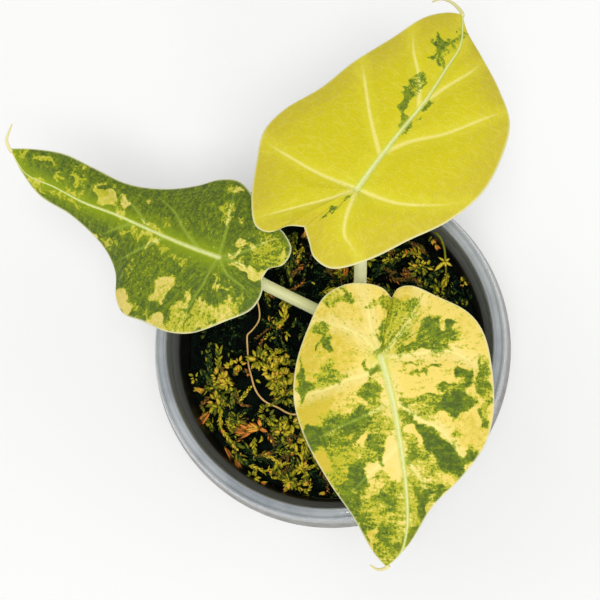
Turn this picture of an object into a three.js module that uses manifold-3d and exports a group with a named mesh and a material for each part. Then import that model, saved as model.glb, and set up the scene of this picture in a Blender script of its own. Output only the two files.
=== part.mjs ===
// Potted variegated alocasia: three arrow-shaped leaves on slim stalks, growing from a short rhizome in
// a clear nursery pot filled with moss. Millimetres, +Z up, origin at the middle of the pot's underside.
// Seen from above with +Y up, one leaf points down (front), one up and left (left), one up and right
// (back).
import * as THREE from "three";
import { mergeVertices } from "three/addons/utils/BufferGeometryUtils.js";
import Module from "manifold-3d";

const wasm = await Module();
wasm.setup();

// Pot: a tapered clear wall, a throat that steps out under the rim, a flat ring and a flared skirt
const POT_HEIGHT = 80;
const POT_SIDES = 56;
const BASE_RADIUS = 33;
const BASE_THICKNESS = 1.4;
const WALL = 1;
const LEDGE_Z = 71;
const LEDGE_RADIUS = 40.5;
const RING_INNER = 41.2;
const RING_OUTER = 44;
const GROOVE_DEPTH = 0.4;
const SKIRT_RADIUS = 46;
const SKIRT_DEPTH = 10;
const DRAIN_HOLES = 8;
const DRAIN_RADIUS = 2.8;
const DRAIN_CIRCLE = 22;

// Moss bed: lumpy on top, with loose strands; the rhizome stands in a stepped hole in it
const GAP = 0.3;
const MOSS_Z = 66;
const MOSS_SIDES = 40;
const MOSS_RINGS = 8;
const STRANDS = 44;
const STRAND_RADIUS = 0.75;
const MOUTH_RADIUS = 8.6;

// Rhizome: a short upright stem with roots below and one fine root that runs over the moss
const CROWN = [6.5, 5.5];
const CROWN_Z = 64;
const RHIZOME_RADIUS = 6.2;
const RHIZOME_LENGTH = 24;
const ROOTS = 6;
const ROOT_RADIUS = 1.1;
const RUNNER_RADIUS = 0.4;
const RUNNER_LIFT = 1.5;

// Stalks: each stands on the rhizome and ends under its blade
const STALK_CIRCLE = 3.2;
const STALK_FOOT_RADIUS = 2.55;
const STALK_RADIUS = 1.5;

// Blades
const BLADE = 0.8;
const RIB = 1.1;
const EDGE_STEPS = 26;
const HALF_STEPS = 6;
const CUT_DEPTH = 6;
const THREAD_RADIUS = 0.45;

// Each leaf has its own frame: x across the blade (the right-hand side as seen from above, looking to
// the tip), y along it to the tip, z up, from the point where the stalk meets the blade. lobe is the
// share of each edge, from the sinus on, whose veins all start at that point; crown is how far each
// half of the blade arches up between midrib and edge; foot is the compass direction, in degrees, of
// the stalk's foot on the rhizome.
const LEAVES = {
  front: {
    attach: [15, -8, 115],
    heading: -90,
    lobe: 0.36,
    crown: 1.2,
    foot: -50,
    stalk: [[9.2, 2.4, 74], [11, 0.5, 88], [13.3, -3.5, 102]],
    midrib: [[0, 0, 0], [-2.5, 9.5, -1], [-4.5, 21.5, -3.5], [-5.5, 30.5, -6.5], [-5.5, 38, -9.5],
      [-4, 44, -13], [-0.5, 47.5, -15.5]],
    left: [[-2.5, -13.5, 1.5], [-4, -15.5, 2.5], [-7, -16, 3], [-12.5, -14, 1], [-20, -10.5, -2.5],
      [-23.5, -6, -5], [-25.5, 3.5, -7], [-25.5, 12.5, -7.5], [-23.5, 19.5, -7.5], [-18.5, 26.5, -7.5],
      [-11.5, 33.5, -9.5], [-6, 42, -12.5], [-0.5, 47.5, -15.5]],
    right: [[-2.5, -13.5, 1.5], [-0.5, -15.5, 3], [3, -16.5, 3.5], [8, -16.5, 2.5], [13, -14, 1],
      [17, -7, -1.5], [20, 1.5, -4], [20.5, 9.5, -5.5], [18, 18, -6.5], [12.5, 28, -8],
      [7, 36, -10.5], [2.5, 44, -13.5], [-0.5, 47.5, -15.5]],
    thread: [[1.5, 48, -17], [3.5, 47, -18]],
  },
  left: {
    attach: [-23.5, 16.5, 110],
    heading: 151.5,
    lobe: 0.34,
    crown: 1,
    foot: 190,
    stalk: [[1.5, 6.5, 70], [-3, 8.8, 76], [-9.3, 11, 85], [-15.2, 12.9, 95], [-21, 15.4, 105]],
    midrib: [[0, 0, 0], [-1, 9, -2], [-1.5, 17.5, -4], [-2, 29, -6.5], [-3, 38.5, -8], [-3, 47, -8.5],
      [-3.5, 54.5, -7.5], [0, 61, -6]],
    left: [[0.5, -11.5, 0], [-2.5, -13, -0.5], [-7, -12.5, -2], [-12.5, -8, -3.5], [-18.5, -2, -5.5],
      [-21, 4, -8], [-21.5, 11.5, -11.5], [-22, 17.5, -14], [-19.5, 21, -14.5], [-14, 24.5, -15],
      [-10, 30, -14.5], [-7, 40.5, -12.5], [-6.5, 49.5, -10], [-3.5, 56, -7.5], [0, 61, -6]],
    right: [[0.5, -11.5, 0], [3, -12, 1], [5.5, -14.5, 1], [9.5, -14.5, 1], [12, -11.5, 1],
      [14, -5, 0], [17, 0.5, -2], [19, 6, -4.5], [17.5, 10.5, -6], [13.5, 15.5, -7.5],
      [9.5, 22.5, -9.5], [6.5, 31.5, -10.5], [6, 41.5, -10], [5.5, 49, -9], [3, 56, -8], [0, 61, -6]],
    thread: [[1.5, 62.5, -5.5], [3.5, 63, -5.5], [5.5, 63.5, -6]],
  },
  back: {
    attach: [11, 25.5, 140],
    heading: 63,
    lobe: 0.34,
    crown: 1.3,
    foot: 70,
    stalk: [[7.8, 8.7, 78], [8.6, 9.6, 92], [9.9, 12.7, 109], [11, 19, 129]],
    midrib: [[0, 0, 0], [1, 8.5, -1.5], [2, 15.5, -3], [3.5, 25, -5.5], [4, 35, -8.5], [4, 42, -11.5],
      [2, 47, -14], [0.5, 50, -15.5]],
    left: [[-6.5, -12.5, 0], [-9.5, -14, 1], [-12.5, -17, 1], [-16, -17, 0], [-20, -12, -2],
      [-23.5, -3.5, -4], [-25.5, 3.5, -5], [-24, 10, -6], [-19, 18.5, -7], [-15.5, 27, -8],
      [-10.5, 36.5, -10], [-6.5, 44.5, -12], [-2.5, 48.5, -14], [0.5, 50, -15.5]],
    right: [[-6.5, -12.5, 0], [-4, -15, 0], [-1.5, -17.5, 0], [3, -18, 0], [9, -13, -0.5],
      [15, -4.5, -2.5], [20.5, 3.5, -5], [24, 13, -7.5], [24, 22.5, -9.5], [22, 30.5, -11],
      [16.5, 36.5, -12], [9.5, 42, -13], [3.5, 46.5, -14.5], [0.5, 50, -15.5]],
    thread: [[-1.5, 51.5, -17], [-4, 52.5, -18.5], [-6.5, 52.5, -20], [-8, 51.5, -21]],
  },
};

// The fine root's way over the moss, from the crown to its free end, in plan
const RUNNER_RISE = [[4.8, 1.2, 62.5], [4.6, 1, 67], [2.4, -1.8, 70.6]];
const RUNNER_PLAN = [[-1.5, -8], [-4.5, -15], [-9.5, -17], [-15.5, -15], [-19.5, -11.5], [-21.2, -6],
  [-22, 0], [-21.8, 4.5], [-19.6, 8.5], [-19.8, 13], [-21.5, 17]];

const COLOURS = {
  pot: 0xc9ced2,
  moss_bed: 0x3b3d1d,
  rhizome: 0x8a6844,
  stalk: 0xdbe0a2,
  blade_front: 0xb9b65a,
  blade_left: 0x6d8434,
  blade_back: 0xd6ca3c,
};

// A repeatable stream of numbers from 0 to 1
function randomStream(seed) {
  let state = seed;
  return () => {
    state = (state * 1664525 + 1013904223) % 4294967296;
    return state / 4294967296;
  };
}

const vectors = (points) => points.map((p) => new THREE.Vector3(...p));
const smoothCurve = (points) => new THREE.CatmullRomCurve3(vectors(points), false, "centripetal");

// A closed mesh from a list of points and a list of triangles
function meshGeometry(points, triangles) {
  const geometry = new THREE.BufferGeometry();
  geometry.setAttribute("position", new THREE.Float32BufferAttribute(points.flat(), 3));
  geometry.setIndex(triangles.flat());
  return geometry;
}

// A solid for cutting and joining, with its faces turned outward
function toSolid(geometry) {
  const bare = geometry.clone();
  bare.deleteAttribute("normal");
  bare.deleteAttribute("uv");
  const merged = mergeVertices(bare, 1e-5);
  const position = merged.attributes.position.array;
  const corner = (i) => new THREE.Vector3().fromArray(position, 3 * i);
  const triangles = [];
  let volume = 0;
  for (let i = 0; i < merged.index.count; i += 3) {
    const [a, b, c] = [0, 1, 2].map((k) => merged.index.getX(i + k));
    if (a === b || b === c || c === a) continue;
    volume += corner(a).dot(corner(b).cross(corner(c)));
    triangles.push(a, b, c);
  }
  if (volume < 0) triangles.reverse();
  return new wasm.Manifold(new wasm.Mesh({
    numProp: 3,
    vertProperties: new Float32Array(position),
    triVerts: new Uint32Array(triangles),
  }));
}

function toGeometry(solid) {
  const mesh = solid.getMesh();
  const geometry = new THREE.BufferGeometry();
  geometry.setAttribute("position", new THREE.BufferAttribute(mesh.vertProperties, 3));
  geometry.setIndex(new THREE.BufferAttribute(mesh.triVerts, 1));
  return geometry;
}

const joinAll = (solids) => solids.reduce((whole, piece) => whole.add(piece));

// A body of revolution about Z from (radius, height) pairs
function turned(profile, sides, centre = [0, 0]) {
  const geometry = new THREE.LatheGeometry(profile.map((p) => new THREE.Vector2(...p)), sides);
  return geometry.rotateX(Math.PI / 2).translate(centre[0], centre[1], 0);
}

// A tube along a curve whose radius changes from root to end
function taperedTube(curve, radiusAt, sides, steps) {
  const frames = curve.computeFrenetFrames(steps, false);
  const points = [];
  const triangles = [];
  for (let i = 0; i <= steps; i++) {
    const centre = curve.getPointAt(i / steps);
    for (let k = 0; k < sides; k++) {
      const angle = (2 * Math.PI * k) / sides;
      const p = centre.clone()
        .addScaledVector(frames.normals[i], radiusAt(i / steps) * Math.cos(angle))
        .addScaledVector(frames.binormals[i], radiusAt(i / steps) * Math.sin(angle));
      points.push(p.toArray());
    }
  }
  for (let i = 0; i < steps; i++) {
    for (let k = 0; k < sides; k++) {
      const a = i * sides + k;
      const b = i * sides + ((k + 1) % sides);
      triangles.push([a, b, b + sides], [a, b + sides, a + sides]);
    }
  }
  const last = steps * sides;
  for (let k = 1; k < sides - 1; k++) {
    triangles.push([0, k + 1, k], [last, last + k, last + k + 1]);
  }
  return meshGeometry(points, triangles);
}

// Pot

const throatRadius = RING_INNER - 0.2;
const wallRadius = (z) => THREE.MathUtils.mapLinear(
  z, BASE_THICKNESS, LEDGE_Z, BASE_RADIUS - WALL, LEDGE_RADIUS - WALL);

function pot() {
  const top = POT_HEIGHT;
  const profile = [
    [0, 0], [BASE_RADIUS - 1, 0], [BASE_RADIUS, 1], [LEDGE_RADIUS, LEDGE_Z],
    [throatRadius + WALL, LEDGE_Z + 1.2], [throatRadius + WALL, top - 1.3],
    [RING_OUTER - 0.8, top - 1.3], [SKIRT_RADIUS - 0.9, top - SKIRT_DEPTH],
    [SKIRT_RADIUS, top - SKIRT_DEPTH], [RING_OUTER + 0.3, top - 0.6],
    [RING_OUTER, top], [RING_OUTER - 0.4, top], [RING_OUTER - 0.7, top - GROOVE_DEPTH],
    [RING_INNER + 1, top - GROOVE_DEPTH], [RING_INNER + 0.7, top], [RING_INNER + 0.3, top],
    [RING_INNER, top - 0.4], [throatRadius, LEDGE_Z + 1.7], [LEDGE_RADIUS - WALL, LEDGE_Z + 0.5],
    [BASE_RADIUS - WALL, BASE_THICKNESS], [0, BASE_THICKNESS],
  ];
  let solid = toSolid(turned(profile, POT_SIDES));
  for (let i = 0; i < DRAIN_HOLES; i++) {
    const angle = (2 * Math.PI * (i + 0.5)) / DRAIN_HOLES;
    const drill = new THREE.CylinderGeometry(DRAIN_RADIUS, DRAIN_RADIUS, 4 * BASE_THICKNESS, 12);
    drill.rotateX(Math.PI / 2);
    drill.translate(DRAIN_CIRCLE * Math.cos(angle), DRAIN_CIRCLE * Math.sin(angle), 0);
    solid = solid.subtract(toSolid(drill));
  }
  return toGeometry(solid);
}

// Moss bed

function mossHeight(x, y) {
  const swell = 1.4 * Math.sin(0.15 * x + 0.6) * Math.cos(0.13 * y - 0.5);
  const lumps = 0.9 * Math.sin(0.41 * x - 0.23 * y + 2) + 0.6 * Math.sin(0.33 * y + 0.52 * x - 1);
  const edgeDip = 2.2 * Math.max(0, Math.hypot(x, y) / 38 - 0.75) / 0.25;
  return MOSS_Z + swell + lumps - edgeDip;
}

// Short curled strands that stand out of the bed, clear of the crown and of the fine root
function mossStrands() {
  const random = randomStream(7);
  const runner = RUNNER_PLAN.map((p) => new THREE.Vector2(...p));
  const strands = [];
  while (strands.length < STRANDS) {
    const distance = 34 * Math.sqrt(random());
    const angle = 2 * Math.PI * random();
    const heading = 2 * Math.PI * random();
    const length = 6 + 5 * random();
    const place = new THREE.Vector2(distance * Math.cos(angle), distance * Math.sin(angle));
    const end = place.clone().add(new THREE.Vector2(Math.cos(heading), Math.sin(heading))
      .multiplyScalar(length));
    const middle = place.clone().lerp(end, 0.5);
    const crownGap = Math.min(...[place, middle, end].map(
      (p) => Math.hypot(p.x - CROWN[0], p.y - CROWN[1])));
    const runnerGap = Math.min(...runner.flatMap((r) => [place, middle, end].map(
      (p) => p.distanceTo(r))));
    if (crownGap < MOUTH_RADIUS + 1.5 || runnerGap < 5 || end.length() > 35) continue;
    const rise = 1 + 1.4 * random();
    strands.push(smoothCurve([
      [place.x, place.y, mossHeight(place.x, place.y) - 1.6],
      [place.x + 0.2 * (end.x - place.x), place.y + 0.2 * (end.y - place.y),
        mossHeight(place.x, place.y) + rise],
      [middle.x, middle.y, mossHeight(middle.x, middle.y) + rise],
      [end.x, end.y, mossHeight(end.x, end.y) - 0.4],
    ]));
  }
  return strands.map((curve) => toSolid(taperedTube(curve, () => STRAND_RADIUS, 3, 4)));
}

function mossBed() {
  const bottom = BASE_THICKNESS + GAP;
  const edge = wallRadius(MOSS_Z - 4) - GAP;
  const rings = Array.from({ length: MOSS_RINGS + 1 }, (_, i) => [edge * (1 - i / MOSS_RINGS), MOSS_Z]);
  const profile = [[0, bottom], [wallRadius(bottom) - GAP - 0.1, bottom], ...rings];
  const body = turned(profile, MOSS_SIDES);
  const position = body.attributes.position;
  for (let i = 0; i < position.count; i++) {
    if (position.getZ(i) < MOSS_Z - 1) continue;
    position.setZ(i, mossHeight(position.getX(i), position.getY(i)));
  }
  const hole = turned([
    [0, CROWN_Z - RHIZOME_LENGTH - GAP], [RHIZOME_RADIUS + GAP, CROWN_Z - RHIZOME_LENGTH - GAP],
    [RHIZOME_RADIUS + GAP, CROWN_Z - 1], [MOUTH_RADIUS, CROWN_Z - 1],
    [MOUTH_RADIUS, CROWN_Z + 12], [0, CROWN_Z + 12],
  ], 20, CROWN);
  const burrows = rootCurves(GAP).map((curve) => toSolid(rootTube(curve, GAP + 0.1)));
  return toGeometry(joinAll([toSolid(body), ...mossStrands()])
    .subtract(joinAll([toSolid(hole), ...burrows])));
}

// Rhizome and roots

function rootCurves(extra) {
  const random = randomStream(3);
  return Array.from({ length: ROOTS }, (_, i) => {
    const angle = (2 * Math.PI * (i + 0.3 * random())) / ROOTS;
    const reach = 14 + 5 * random();
    const depth = 22 + 8 * random();
    const start = CROWN_Z - RHIZOME_LENGTH + 5;
    const at = (out, down) => [CROWN[0] * (1 - down / 60) + out * Math.cos(angle),
      CROWN[1] * (1 - down / 60) + out * Math.sin(angle), start - down];
    return smoothCurve([at(2, 0), at(8, 3), at(reach * 0.8, 0.45 * depth), at(reach, depth + extra)]);
  });
}

const rootTube = (curve, extra) => taperedTube(curve, (s) => ROOT_RADIUS * (1 - 0.4 * s) + extra, 6, 8);

function runner() {
  const lying = RUNNER_PLAN.map(([x, y]) => [x, y, mossHeight(x, y) + RUNNER_LIFT]);
  return taperedTube(smoothCurve([...RUNNER_RISE, ...lying]), (s) => RUNNER_RADIUS * (1 - 0.3 * s), 5, 36);
}

function rhizome() {
  const bottom = CROWN_Z - RHIZOME_LENGTH;
  const r = RHIZOME_RADIUS;
  const stem = turned([
    [0, bottom], [0.7 * r, bottom], [r, bottom + 3], [0.88 * r, bottom + 7], [r, bottom + 11],
    [0.88 * r, bottom + 15], [r, bottom + 19], [0.97 * r, CROWN_Z], [0, CROWN_Z],
  ], 20, CROWN);
  const roots = rootCurves(0).map((curve) => toSolid(rootTube(curve, 0)));
  return toGeometry(joinAll([toSolid(stem), ...roots, toSolid(runner())]));
}

// Leaves

// Turns a point of the leaf's own frame into the part's frame
function leafPlace(leaf) {
  const a = THREE.MathUtils.degToRad(leaf.heading);
  return ([x, y, z]) => [
    leaf.attach[0] + x * Math.sin(a) + y * Math.cos(a),
    leaf.attach[1] - x * Math.cos(a) + y * Math.sin(a),
    leaf.attach[2] + z,
  ];
}

// The upper face as points and triangles. Each half is ruled by veins that run from the midrib to the
// edge: those of the lobe all start at the stalk, the others at steps along the midrib.
function bladeFace(leaf) {
  const midrib = smoothCurve(leaf.midrib);
  const points = [];
  const ribs = [];
  const triangles = [];
  const known = new Map();
  const add = (p, rib) => {
    const key = p.toArray().map((v) => v.toFixed(3)).join();
    if (!known.has(key)) {
      known.set(key, points.length);
      points.push(p.toArray());
      ribs.push(rib);
    }
    return known.get(key);
  };
  for (const [side, turn] of [["left", false], ["right", true]]) {
    const edge = smoothCurve(leaf[side]);
    const grid = Array.from({ length: EDGE_STEPS + 1 }, (_, i) => {
      const along = i / EDGE_STEPS;
      const start = Math.max(0, (along - leaf.lobe) / (1 - leaf.lobe));
      const from = midrib.getPointAt(start);
      const to = edge.getPointAt(along);
      const arch = leaf.crown * Math.min(1, from.distanceTo(to) / 18);
      return Array.from({ length: HALF_STEPS + 1 }, (_, k) => {
        const out = k / HALF_STEPS;
        const p = from.clone().lerp(to, out);
        p.z += arch * Math.sin(Math.PI * out);
        return add(p, k === 0 ? 1 - start : 0);
      });
    });
    for (let i = 0; i < EDGE_STEPS; i++) {
      for (let k = 0; k < HALF_STEPS; k++) {
        const [a, b, c, d] = [grid[i][k], grid[i][k + 1], grid[i + 1][k + 1], grid[i + 1][k]];
        for (const t of [[a, b, c], [a, c, d]]) {
          if (new Set(t).size === 3) triangles.push(turn ? t.reverse() : t);
        }
      }
    }
  }
  return { points, ribs, triangles };
}

// A sheet with the same triangles on both faces, joined round its edge
function thicken(face, raise, thicknessAt) {
  const count = face.points.length;
  const top = face.points.map(([x, y, z]) => [x, y, z + raise]);
  const under = face.points.map(([x, y, z], i) => [x, y, z - thicknessAt(i)]);
  const below = face.triangles.map(([a, b, c]) => [a + count, c + count, b + count]);
  const triangles = [...face.triangles, ...below];
  const sides = new Set(face.triangles.flatMap(([a, b, c]) => [`${a},${b}`, `${b},${c}`, `${c},${a}`]));
  for (const side of sides) {
    const [a, b] = side.split(",").map(Number);
    if (sides.has(`${b},${a}`)) continue;
    triangles.push([b, a, a + count], [b, a + count, b + count]);
  }
  return { points: [...top, ...under], triangles };
}

function placed(leaf, sheet) {
  return toSolid(meshGeometry(sheet.points.map(leafPlace(leaf)), sheet.triangles));
}

function blade(leaf) {
  const face = bladeFace(leaf);
  const sheet = thicken(face, 0, (i) => BLADE + RIB * face.ribs[i]);
  const lower = ([x, y, z]) => [x, y, z - BLADE / 2];
  const start = leaf.midrib.at(-1).map((v, i) => 0.9 * v + 0.1 * leaf.midrib.at(-2)[i]);
  const thread = [start, leaf.midrib.at(-1), ...leaf.thread].map(lower).map(leafPlace(leaf));
  const tube = taperedTube(smoothCurve(thread), (s) => THREAD_RADIUS * (1 - 0.35 * s), 5, 7);
  return toGeometry(placed(leaf, sheet).add(toSolid(tube)));
}

function stalk(leaf) {
  const foot = THREE.MathUtils.degToRad(leaf.foot);
  const x = CROWN[0] + STALK_CIRCLE * Math.cos(foot);
  const y = CROWN[1] + STALK_CIRCLE * Math.sin(foot);
  const end = [leaf.attach[0], leaf.attach[1], leaf.attach[2] + 1];
  const curve = smoothCurve([[x, y, CROWN_Z + GAP], [x, y, CROWN_Z + 1.5], ...leaf.stalk, end]);
  const flare = STALK_FOOT_RADIUS - STALK_RADIUS;
  const tube = taperedTube(curve, (s) => STALK_RADIUS + flare * Math.exp(-9 * s), 10, 18);
  const face = bladeFace(leaf);
  const clearance = thicken(face, CUT_DEPTH, (i) => BLADE + RIB * face.ribs[i] + GAP);
  return toGeometry(toSolid(tube).subtract(placed(leaf, clearance)));
}

// Assembly

const plant = new THREE.Group();

function place(name, geometry, colour, roughness, extra = {}) {
  const material = new THREE.MeshStandardMaterial({ color: colour, roughness, metalness: 0, ...extra });
  const mesh = new THREE.Mesh(geometry, material);
  mesh.name = name;
  plant.add(mesh);
}

place("pot", pot(), COLOURS.pot, 0.12, { transparent: true, opacity: 0.4 });
place("moss_bed", mossBed(), COLOURS.moss_bed, 0.95);
place("rhizome", rhizome(), COLOURS.rhizome, 0.8);
for (const [name, leaf] of Object.entries(LEAVES)) {
  place(`stalk_${name}`, stalk(leaf), COLOURS.stalk, 0.45);
  place(`blade_${name}`, blade(leaf), COLOURS[`blade_${name}`], 0.6);
}

export default plant;
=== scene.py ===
"""Looks of the potted variegated alocasia: fine leaves, stalks, clear pot and loose moss."""

import math

import bpy
import numpy as np
from mathutils import Matrix


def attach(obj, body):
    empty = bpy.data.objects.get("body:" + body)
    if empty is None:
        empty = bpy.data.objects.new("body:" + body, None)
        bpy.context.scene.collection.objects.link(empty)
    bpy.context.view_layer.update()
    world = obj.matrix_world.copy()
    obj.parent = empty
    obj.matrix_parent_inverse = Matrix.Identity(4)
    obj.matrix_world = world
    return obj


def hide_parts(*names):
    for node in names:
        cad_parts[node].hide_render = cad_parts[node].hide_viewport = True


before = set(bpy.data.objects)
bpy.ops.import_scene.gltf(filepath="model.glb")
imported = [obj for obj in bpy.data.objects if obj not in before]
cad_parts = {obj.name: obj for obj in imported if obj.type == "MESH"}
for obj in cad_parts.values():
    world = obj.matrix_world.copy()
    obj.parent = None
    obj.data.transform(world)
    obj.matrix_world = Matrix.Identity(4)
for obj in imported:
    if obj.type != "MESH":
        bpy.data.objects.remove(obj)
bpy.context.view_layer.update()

MM = 0.001
ROOT = "root"

# Pot, in millimetres, as the CAD has it
POT_HEIGHT = 80
POT_SIDES = 240
BASE_RADIUS = 33
BASE_THICKNESS = 1.4
WALL = 1
LEDGE_Z = 71
LEDGE_RADIUS = 40.5
RING_INNER = 41.2
RING_OUTER = 44
GROOVE_DEPTH = 0.5
SKIRT_RADIUS = 46
SKIRT_DEPTH = 10
DRAIN_HOLES = 8
DRAIN_RADIUS = 2.8
DRAIN_CIRCLE = 22

# Moss and crown
MOSS_Z = 66
BED_RADIUS = 38
STRAND_REACH = 38.4
BODY_DRAWN_IN = 1.6
WALL_STRANDS = 1000
WALL_STRAND_GAP = 0.8
WALL_STRAND_Z = (6, 64)
GAP = 0.3
CROWN = (6.5, 5.5)
CROWN_Z = 64
RHIZOME_RADIUS = 6.2
RHIZOME_LENGTH = 24
ROOTS = 6
ROOT_RADIUS = 1.1

# Stalks
STALK_CIRCLE = 3.2
STALK_FOOT_RADIUS = 2.5
STALK_RADIUS = 1.48

# Blades: finer and thinner than the solids that they replace
BLADE = 0.5
EDGE_STEPS = 300
HALF_STEPS = 64
THREAD_RADIUS = 0.5
THREAD_STEPS = 40
EDGE_ROUND = 0.3
HUB_RADIUS = 3.2
ARCH_WIDTH = 18
STREAK_STRETCH = 0.3

# Veins: half width at the start and the share of it left at the end, for the side veins' lines, the
# valleys round the side veins and the midrib, and the bright tissue by the midrib
MIDRIB_END = 0.2
SIDE_VEIN = (0.6, 0.4)
SIDE_VALLEY = (3.2, 0.8)
MIDRIB_VALLEY = (3.8, 0.8)
AXIL = (3.2, 0.6)

# Relief in millimetres: how far the fields between the veins rise, the veins sink and the ribs stand
FIELD_RISE = 0.8
MIDRIB_SINK = 0.3
SIDE_SINK = 0.12
SIDE_RIB = 0.3

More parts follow.
